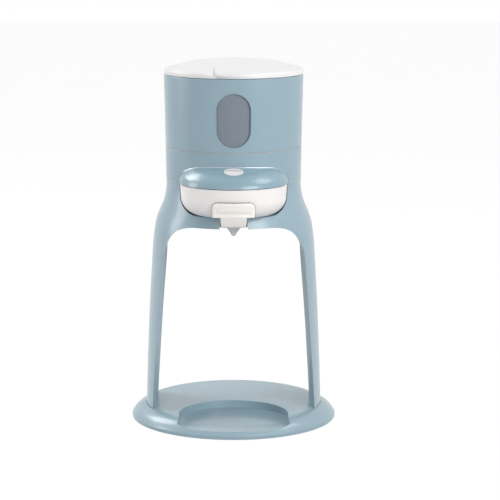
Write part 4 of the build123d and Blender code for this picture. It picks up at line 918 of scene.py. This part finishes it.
def folded(radius, height, turn, after_fold):
    """Point of the lid's outside, in millimetres, pressed by the fold."""
    side = bent(turn, radius)
    x, y = radius * sin(side), -radius * cos(side)
    if y > 0:
        return x, y, height
    near_edge = smooth((radius - LID_RADIUS + FOLD_REACH) / FOLD_REACH)
    if after_fold:
        beside = 1 - smooth((x - FOLD_X) / GROOVE_WIDTH)
        low = smooth((GROOVE_TOP - height) / GROOVE_RISE)
        inwards = 1 - GROOVE * low * beside / radius
        bead = BEAD * near_edge * (1 - smooth((x - FOLD_X) / BEAD_WIDTH)) * (1 - low)
        return x * inwards, y * inwards, height + bead
    drop = FOLD_STEP * near_edge * (1 - smooth((FOLD_X - x) / DIP_WIDTH))
    if height < RIM_TOP:
        drop *= (height - LID_BOTTOM) / (RIM_TOP - LID_BOTTOM)
    return x, y, height - drop


def make_lid():
    """Closed mesh of the lid."""
    shape = bmesh.new()
    turns = spoke_turns()
    rings = []
    for radius, height, outside in lid_outline():
        ring = []
        for number, turn in enumerate(turns):
            gap = FOLD_WIDTH / 2 / radius * (1 if number == 0 else -1 if number == SPOKES else 0)
            if outside:
                place = folded(radius, height, turn + gap, number <= SPOKES // 2)
            else:
                side = bent(turn + gap, radius)
                place = (radius * sin(side), -radius * cos(side), height)
            ring.append(shape.verts.new(metres(*place)))
        rings.append(ring)
    skin_rings(shape, rings)
    for ring, height in ((rings[0], dome_height(0)), (rings[-1], dome_height(0, LID_SHELL))):
        middle = shape.verts.new(metres(0, 0, height))
        for side in range(SPOKES + 1):
            shape.faces.new((middle, ring[side], ring[(side + 1) % (SPOKES + 1)]))
    return finished_mesh("white_lid", shape, smooth_below=0.5)


lid = dressed_piece("white_lid", make_lid(), "white_plastic")
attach(lid, "lid")
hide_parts("tank_lid")
print("white_lid", len(lid.data.polygons), "faces")

# %% [markdown]
# ## The cap over the drawer
#
# The glossy cap also needs an even mesh, because its reflections run across it in long curves. Its
# outline is a soft curve through a few knots. Each knot says how far it lies from the axis, how
# far under the crown, and how steeply the curve falls there in degrees. The outline is spun about
# an axis that leans forwards by five degrees, outside and inside in one go. Then three cutters
# give the cap its flat underside, its back against the tower and the button's opening.

# %% Cap's outline and its leaning axis
HEAD_Y = -39.5
CAP_FOOT = 214.4
CAP_TOP = 231.8
CAP_WALL = 2.2
CAP_LEAN = radians(5.2)
CAP_BACK = -30.1
CAP_SEGMENTS = 144
CAP_KNOTS = [(0.0, 0.0, 0.0), (19.4, 0.6, 5.2), (29.8, 2.0, 10.0), (36.0, 3.6, 22.4),
             (41.5, 7.0, 39.0), (44.9, 10.6, 58.1), (46.5, 16.4, 90.0)]
CAP_STEPS = (5, 3, 5, 5, 4, 4)
CAP_SKIRT = [(46.5, 20.0), (46.5, 26.0)]


def curve_between(first, second, steps):
    """Points of the soft curve from one knot to the next, without the first."""
    span = dist(first[:2], second[:2])
    leave, arrive = [(cos(radians(knot[2])), sin(radians(knot[2]))) for knot in (first, second)]
    points = []
    for step in range(1, steps + 1):
        share = step / steps
        near, far = span * share * (1 - share) ** 2, span * share ** 2 * (1 - share)
        points.append([start + (end - start) * smooth(share) + near * out - far * into
                       for start, end, out, into in zip(first, second, leave, arrive)])
    return points


cap_outline = [(0, 0)]
for first, second, steps in zip(CAP_KNOTS, CAP_KNOTS[1:], CAP_STEPS):
    cap_outline += curve_between(first, second, steps)
cap_outline += CAP_SKIRT


def inner_outline(outline, wall):
    """The outline, moved inwards at right angles to itself."""
    moved = []
    for before, point, after in zip(outline[:1] + outline, outline, outline[1:] + outline[-1:]):
        run, fall = after[0] - before[0], after[1] - before[1]
        length = sqrt(run ** 2 + fall ** 2)
        moved.append((point[0] - wall * fall / length, point[1] + wall * run / length))
    return moved


def leaned(x, y, height):
    """Point of the upright lens, leaned forwards about its foot and set over the drawer."""
    up = height - CAP_FOOT
    return (x, HEAD_Y + y * cos(CAP_LEAN) - up * sin(CAP_LEAN),
            CAP_FOOT + y * sin(CAP_LEAN) + up * cos(CAP_LEAN))


# %% [markdown]
# The whole lens is spun first, with its hollow. Two blocks then take away what lies below the foot
# and what would reach into the tower, and an upright oval prism opens the place of the button.

# %% Cap
OVAL_SIDES = 64
BELOW_CAP = ((-60, -100, 190), (60, 0, CAP_FOOT))
BEHIND_CAP = ((-60, CAP_BACK, 190), (60, 30, 245))
BUTTON_Y = -69.5
BUTTON_HOLE = (17.1, 13.6)
HOLE_Z = (222.0, 240.0)


def cap_mesh():
    """Closed mesh of the whole lens and its hollow, before it is cut."""
    inner = [(0, CAP_WALL)] + inner_outline(cap_outline, CAP_WALL)[1:]
    shape = spun([(radius, CAP_TOP - fall) for radius, fall in cap_outline + inner[::-1]],
                 CAP_SEGMENTS)
    for corner in shape.verts:
        corner.co = metres(*leaned(*corner.co))
    return finished_mesh("cap_lens", shape)


def block_mesh(low_corner, high_corner):
    """Box between two corners in millimetres."""
    (left, front, low), (right, back, high) = low_corner, high_corner
    plan = ((left, front), (right, front), (right, back), (left, back))
    return ringed_mesh("block", [[(x, y, height) for x, y in plan] for height in (low, high)])


def oval_mesh(width, depth, middle_y, heights):
    """Upright oval prism in millimetres."""
    turns = [2 * pi * side / OVAL_SIDES for side in range(OVAL_SIDES)]
    return ringed_mesh("oval_cutter", [[(width / 2 * cos(turn), middle_y + depth / 2 * sin(turn),
                                         height) for turn in turns] for height in heights])


cutters = [block_mesh(*BELOW_CAP), block_mesh(*BEHIND_CAP),
           oval_mesh(*BUTTON_HOLE, BUTTON_Y, HOLE_Z)]
cut_cap = finished_mesh("glossy_cap", carved("glossy_cap_cut", cap_mesh(), cutters))
cap = dressed_piece("glossy_cap", cut_cap, "blue_gloss")
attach(cap, "root")
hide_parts("head_cap")
print("glossy_cap", len(cap.data.polygons), "faces")

# %% [markdown]
# Along the line where the cap meets the tower runs a thin bright trim. It closes the joint, and it
# catches the light as a fine line. Its path follows the tower's circle, and its height at each
# step is where the cap's surface passes, found by halving an interval.

# %% Trim
TOWER_RADIUS = 59.3
TRIM_RADIUS = 0.45
TRIM_HALF = 43.0
TRIM_OVER_FOOT = 0.6
TRIM_STEPS = 72
TUBE_SIDES = 8
HALVINGS = 30
SEARCH_BELOW, SEARCH_ABOVE = 10, 5


def outline_radius(fall):
    """Radius of the cap's outline at a depth under the crown."""
    for (first, first_fall), (second, second_fall) in zip(cap_outline, cap_outline[1:]):
        if fall <= second_fall:
            share = max(0.0, (fall - first_fall) / (second_fall - first_fall))
            return first + (second - first) * share
    return cap_outline[-1][0]


def lens_height(x, y):
    """Height of the cap's leaning surface over a place on the plan."""
    low_z, high_z = CAP_FOOT - SEARCH_BELOW, CAP_TOP + SEARCH_ABOVE
    for _ in range(HALVINGS):
        middle = (low_z + high_z) / 2
        back, up = y - HEAD_Y, middle - CAP_FOOT
        flat_y = back * cos(CAP_LEAN) + up * sin(CAP_LEAN)
        flat_up = up * cos(CAP_LEAN) - back * sin(CAP_LEAN)
        inside = sqrt(x ** 2 + flat_y ** 2) < outline_radius(CAP_TOP - CAP_FOOT - flat_up)
        low_z, high_z = (middle, high_z) if inside else (low_z, middle)
    return low_z


def tube_ring(x, y, height, radius):
    """Ring of a thin tube that runs round the machine's axis, at one place of its path."""
    ring = []
    for side in range(TUBE_SIDES):
        around = 2 * pi * side / TUBE_SIDES
        out = 1 + radius * cos(around) / sqrt(x ** 2 + y ** 2)
        ring.append((x * out, y * out, height + radius * sin(around)))
    return ring


def trim_rings():
    """Rings of the trim along the line where the cap meets the tower."""
    reach = asin(TRIM_HALF / TOWER_RADIUS)
    rings = []
    for step in range(TRIM_STEPS + 1):
        turn = reach * (2 * step / TRIM_STEPS - 1)
        x, y = TOWER_RADIUS * sin(turn), -TOWER_RADIUS * cos(turn)
        height = max(lens_height(x, y), CAP_FOOT + TRIM_OVER_FOOT)
        rings.append(tube_ring(x, y, height, TRIM_RADIUS))
    return rings


trim_mesh = ringed_mesh("cap_bead", trim_rings(), smooth_below=1.2)
trim = dressed_piece("cap_bead", trim_mesh, "steel")
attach(trim, "root")
print("cap_bead", len(trim.data.polygons), "faces")

# %% [markdown]
# ## The spout's grip and the shade bar on the button
#
# The grip pad on the bowl is a cushion: rounded at its upper corners and along its edges, gently
# curved across, with a finger groove in its lower half. It is drawn as rings of points. The first
# ring lies against the bowl, the next ones go round the cushion's edge, and the rest close over
# its face.

# %% Grip cushion
PAD_HALF = 17.9
PAD_LOW, PAD_HIGH = 190.45, 203.1
PAD_FRONT = -87.8
PAD_CURVE = 71.0
PAD_EDGE = 1.9
PAD_CORNERS = (4.4, 1.0)
CORNER_STEPS = 8
GROOVE_Z = 193.6
GROOVE_HALF = 3.2
GROOVE_DEPTH = 1.1
BOWL_SEAT_RADIUS = 45.0
EDGE_TURNS = range(0, 91, 15)
FACE_INSETS = [2.4 + 0.5 * step for step in range(8)]
LAST_INSET = (PAD_HIGH - PAD_LOW) / 2 - 0.05


def pad_ring(grow, inset, upper_corner, lower_corner):
    """(x, z) points round the pad's outline, grown or inset, always the same number."""
    half, low_z, high_z = PAD_HALF + grow, PAD_LOW - grow, PAD_HIGH + grow
    ring = []
    for corner, side_x, side_z, start in ((upper_corner, 1, 1, 0), (upper_corner, -1, 1, 90),
                                          (lower_corner, -1, -1, 180), (lower_corner, 1, -1, 270)):
        centre = max(corner, inset)
        middle_x = side_x * (half - centre)
        middle_z = high_z - centre if side_z > 0 else low_z + centre
        for step in range(CORNER_STEPS + 1):
            turn = radians(start + 90 * step / CORNER_STEPS)
            ring.append((middle_x + (centre - inset) * cos(turn),
                         middle_z + (centre - inset) * sin(turn)))
        if side_x == side_z:
            ring += [(middle_x - side_x * tenth / 10 * 2 * abs(middle_x), ring[-1][1])
                     for tenth in range(1, 10)]
    return ring


def bowl_front(x, radius):
    """Y of the bowl's wall, or of a wall round it, at a place across."""
    return HEAD_Y - sqrt(radius ** 2 - x ** 2)


def pad_face(x, height):
    """Y of the cushion's face."""
    groove = cos(pi / 2 * min(1.0, abs(height - GROOVE_Z) / GROOVE_HALF)) ** 2
    return PAD_FRONT + x ** 2 / (2 * PAD_CURVE) + GROOVE_DEPTH * groove


def cushion_rings():
    """Rings from the bowl's wall round the edge and over the face."""
    outline = pad_ring(0, 0, *PAD_CORNERS)
    rings = [[(x, bowl_front(x, BOWL_SEAT_RADIUS), z) for x, z in outline]]
    insets = [PAD_EDGE * (1 - cos(radians(turn))) for turn in EDGE_TURNS]
    for inset in insets + FACE_INSETS + [LAST_INSET]:
        over = max(0.0, PAD_EDGE - inset)
        back = PAD_EDGE - sqrt(PAD_EDGE ** 2 - over ** 2)
        rings.append([(x, pad_face(x, z) + back, z) for x, z in pad_ring(0, inset, *PAD_CORNERS)])
    return rings


# %% [markdown]
# A band of black rubber lies between the cushion and the bowl. It is painted shadow, the thin
# shaded line round the cushion. Two black rubber lips on the stem's sides fill the slot that the
# stem slides in, up to a tenth of a millimetre, and paint the shadow in the slot beside the stem.
# The plain pad of the solid spout is cut away where the cushion takes its place.

# %% Spout
SHADOW_BAND_GROW = 0.3
SHADOW_BAND_IN, SHADOW_BAND_OUT = 45.3, 46.7
SHADOW_BAND_CORNERS = (4.8, 1.2)
LIP_IN, LIP_OUT = 10.0, 11.8
LIP_Z = (178.9, 190.2)
LIP_Y = (-60.0, -57.5)
PAD_CUT = ((-30, -100, 190.7), (30, -84.6, 210))


def merged_copy(node):
    """Copy of a solid piece's mesh with its doubled corners welded."""
    source = frame["nodes"][node]
    shape = bmesh.new()
    shape.from_mesh(source.data)
    shape.transform(source.matrix_world)
    bmesh.ops.remove_doubles(shape, verts=shape.verts, dist=SAME_POINT)
    mesh = bpy.data.meshes.new(node + "_copy")
    shape.to_mesh(mesh)
    shape.free()
    return mesh


def drawer_piece(name, mesh, slot_name):
    """Finished piece that rides on the drawer."""
    piece = dressed_piece(name, mesh, slot_name)
    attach(piece, "drawer")
    return piece


def shadow_band_rings():
    """Rings of the painted shadow band: inside the bowl's wall and just outside it."""
    outline = pad_ring(SHADOW_BAND_GROW, 0, *SHADOW_BAND_CORNERS)
    return [[(x, bowl_front(x, radius), z) for x, z in outline]
            for radius in (SHADOW_BAND_IN, SHADOW_BAND_OUT)]


def shadow_lip_mesh(side):
    """Black lip, painted shadow, from the stem's slanting side to the slot's wall on one side."""
    left, right = sorted((side * LIP_IN, side * LIP_OUT))
    return block_mesh((left, LIP_Y[0], LIP_Z[0]), (right, LIP_Y[1], LIP_Z[1]))


cut_spout = carved("spout_cut", merged_copy("spout_block"), [block_mesh(*PAD_CUT)])
spout = drawer_piece("cream_spout", finished_mesh("cream_spout", cut_spout), "cream_plastic")
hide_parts("spout_block")
cushion_mesh = ringed_mesh("grip_cushion", cushion_rings(), smooth_below=0.9)
cushion = drawer_piece("grip_cushion", cushion_mesh, "cream_plastic")
# Black band round the cushion: painted shadow between the cushion and the bowl.
drawer_piece("spout_gasket", ringed_mesh("spout_gasket", shadow_band_rings()), "rubber")
# Black lips beside the stem: painted shadow in the slot.
for side, word in ((-1, "left"), (1, "right")):
    drawer_piece(word + "_stem_lip", shadow_lip_mesh(side), "rubber")
print("cream_spout", len(spout.data.polygons), "faces, cushion", len(cushion.data.polygons))

# %% [markdown]
# Across the start button runs a narrow grey bar. It is painted shade for the dark line across the
# button. It lies in the button's face and follows the cap's curve.

# %% Shade bar on the button
BAR_Y = (-68.9, -67.3)
BAR_HALF = 7.2
BAR_STEPS = 16
BAR_PROUD, BAR_DEEP = 0.06, 0.5
BUTTON_PROUD = 0.6


def shade_bar_rings():
    """Rings of the painted shade bar across the button."""
    rings = []
    for step in range(BAR_STEPS + 1):
        x = BAR_HALF * (2 * step / BAR_STEPS - 1)
        ring = []
        for y, over in ((BAR_Y[0], BAR_PROUD), (BAR_Y[1], BAR_PROUD),
                        (BAR_Y[1], -BAR_DEEP), (BAR_Y[0], -BAR_DEEP)):
            ring.append((x, y, lens_height(x, y) + BUTTON_PROUD + over))
        rings.append(ring)
    return rings


# Grey bar across the button: painted shade for the dark line there.
bar = dressed_piece("button_light_bar", ringed_mesh("button_light_bar", shade_bar_rings()),
                    "grey_plastic")
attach(bar, "button")
print("button_light_bar", len(bar.data.polygons), "faces")

# %% [markdown]
# ## Seams and nozzle
#
# A pale sealing cord lies in each of the tower's two seams. It is a painted highlight for the light
# line that the seams' rounded edges catch. The upper one goes all the way round, and the lower one
# stops at the cap on both sides. The soft nozzle gets a rounded collar and a slimmer cone with a
# rounded tip. Its outline is a closed loop, down the outside and up the bore again, and the loop
# at each turn about its axis is one ring.

# %% Cords and nozzle
CORD_RADIUS = 0.26
CORD_STEPS = 144
UPPER_CORD = (59.0, 241.55)
LOWER_CORD = (58.72, 214.4)
LOWER_CORD_HALF = radians(126)
NOZZLE_Y = -41.0
NOZZLE_STEPS = 64
NOZZLE_LOOP = [
    (3.0, 183.2), (6.0, 183.2), (6.0, 179.15), (7.9, 179.15), (8.1, 179.0), (8.15, 178.7),
    (8.0, 178.35), (7.6, 178.0), (5.9, 175.5), (4.4, 173.3), (2.9, 171.1), (1.9, 169.4),
    (1.55, 168.7), (1.35, 168.4), (1.15, 168.3), (0.95, 168.4), (0.9, 168.7), (0.9, 169.9),
    (3.0, 175.2),
]


def cord_rings(radius, height, half_arc):
    """Rings of a cord about the machine's axis, from the back by this arc to both sides."""
    rings = []
    for step in range(CORD_STEPS + 1):
        turn = half_arc * (2 * step / CORD_STEPS - 1)
        rings.append(tube_ring(radius * sin(turn), radius * cos(turn), height, CORD_RADIUS))
    return rings


def nozzle_rings():
    """The nozzle's loop at every turn about its own axis."""
    turns = [2 * pi * step / NOZZLE_STEPS for step in range(NOZZLE_STEPS)]
    return [[(radius * sin(turn), NOZZLE_Y - radius * cos(turn), height)
             for radius, height in NOZZLE_LOOP] for turn in turns]


upper_rings = cord_rings(*UPPER_CORD, pi)[:-1]
lower_rings = cord_rings(*LOWER_CORD, LOWER_CORD_HALF)
# Pale cords in the seams: painted highlight along the seams' edges.
for name, rings, joined in (("upper_seam_cord", upper_rings, True),
                            ("lower_seam_cord", lower_rings, False)):
    cord_mesh = ringed_mesh(name, rings, smooth_below=1.2, joined=joined)
    cord = dressed_piece(name, cord_mesh, "seal_rubber")
    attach(cord, "root")
nozzle_mesh = ringed_mesh("soft_nozzle", nozzle_rings(), smooth_below=0.7, joined=True)
nozzle = drawer_piece("soft_nozzle", nozzle_mesh, "grey_silicone")
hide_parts("outlet_nozzle")
print("soft_nozzle", len(nozzle.data.polygons), "faces, lower cord", len(cord.data.polygons))
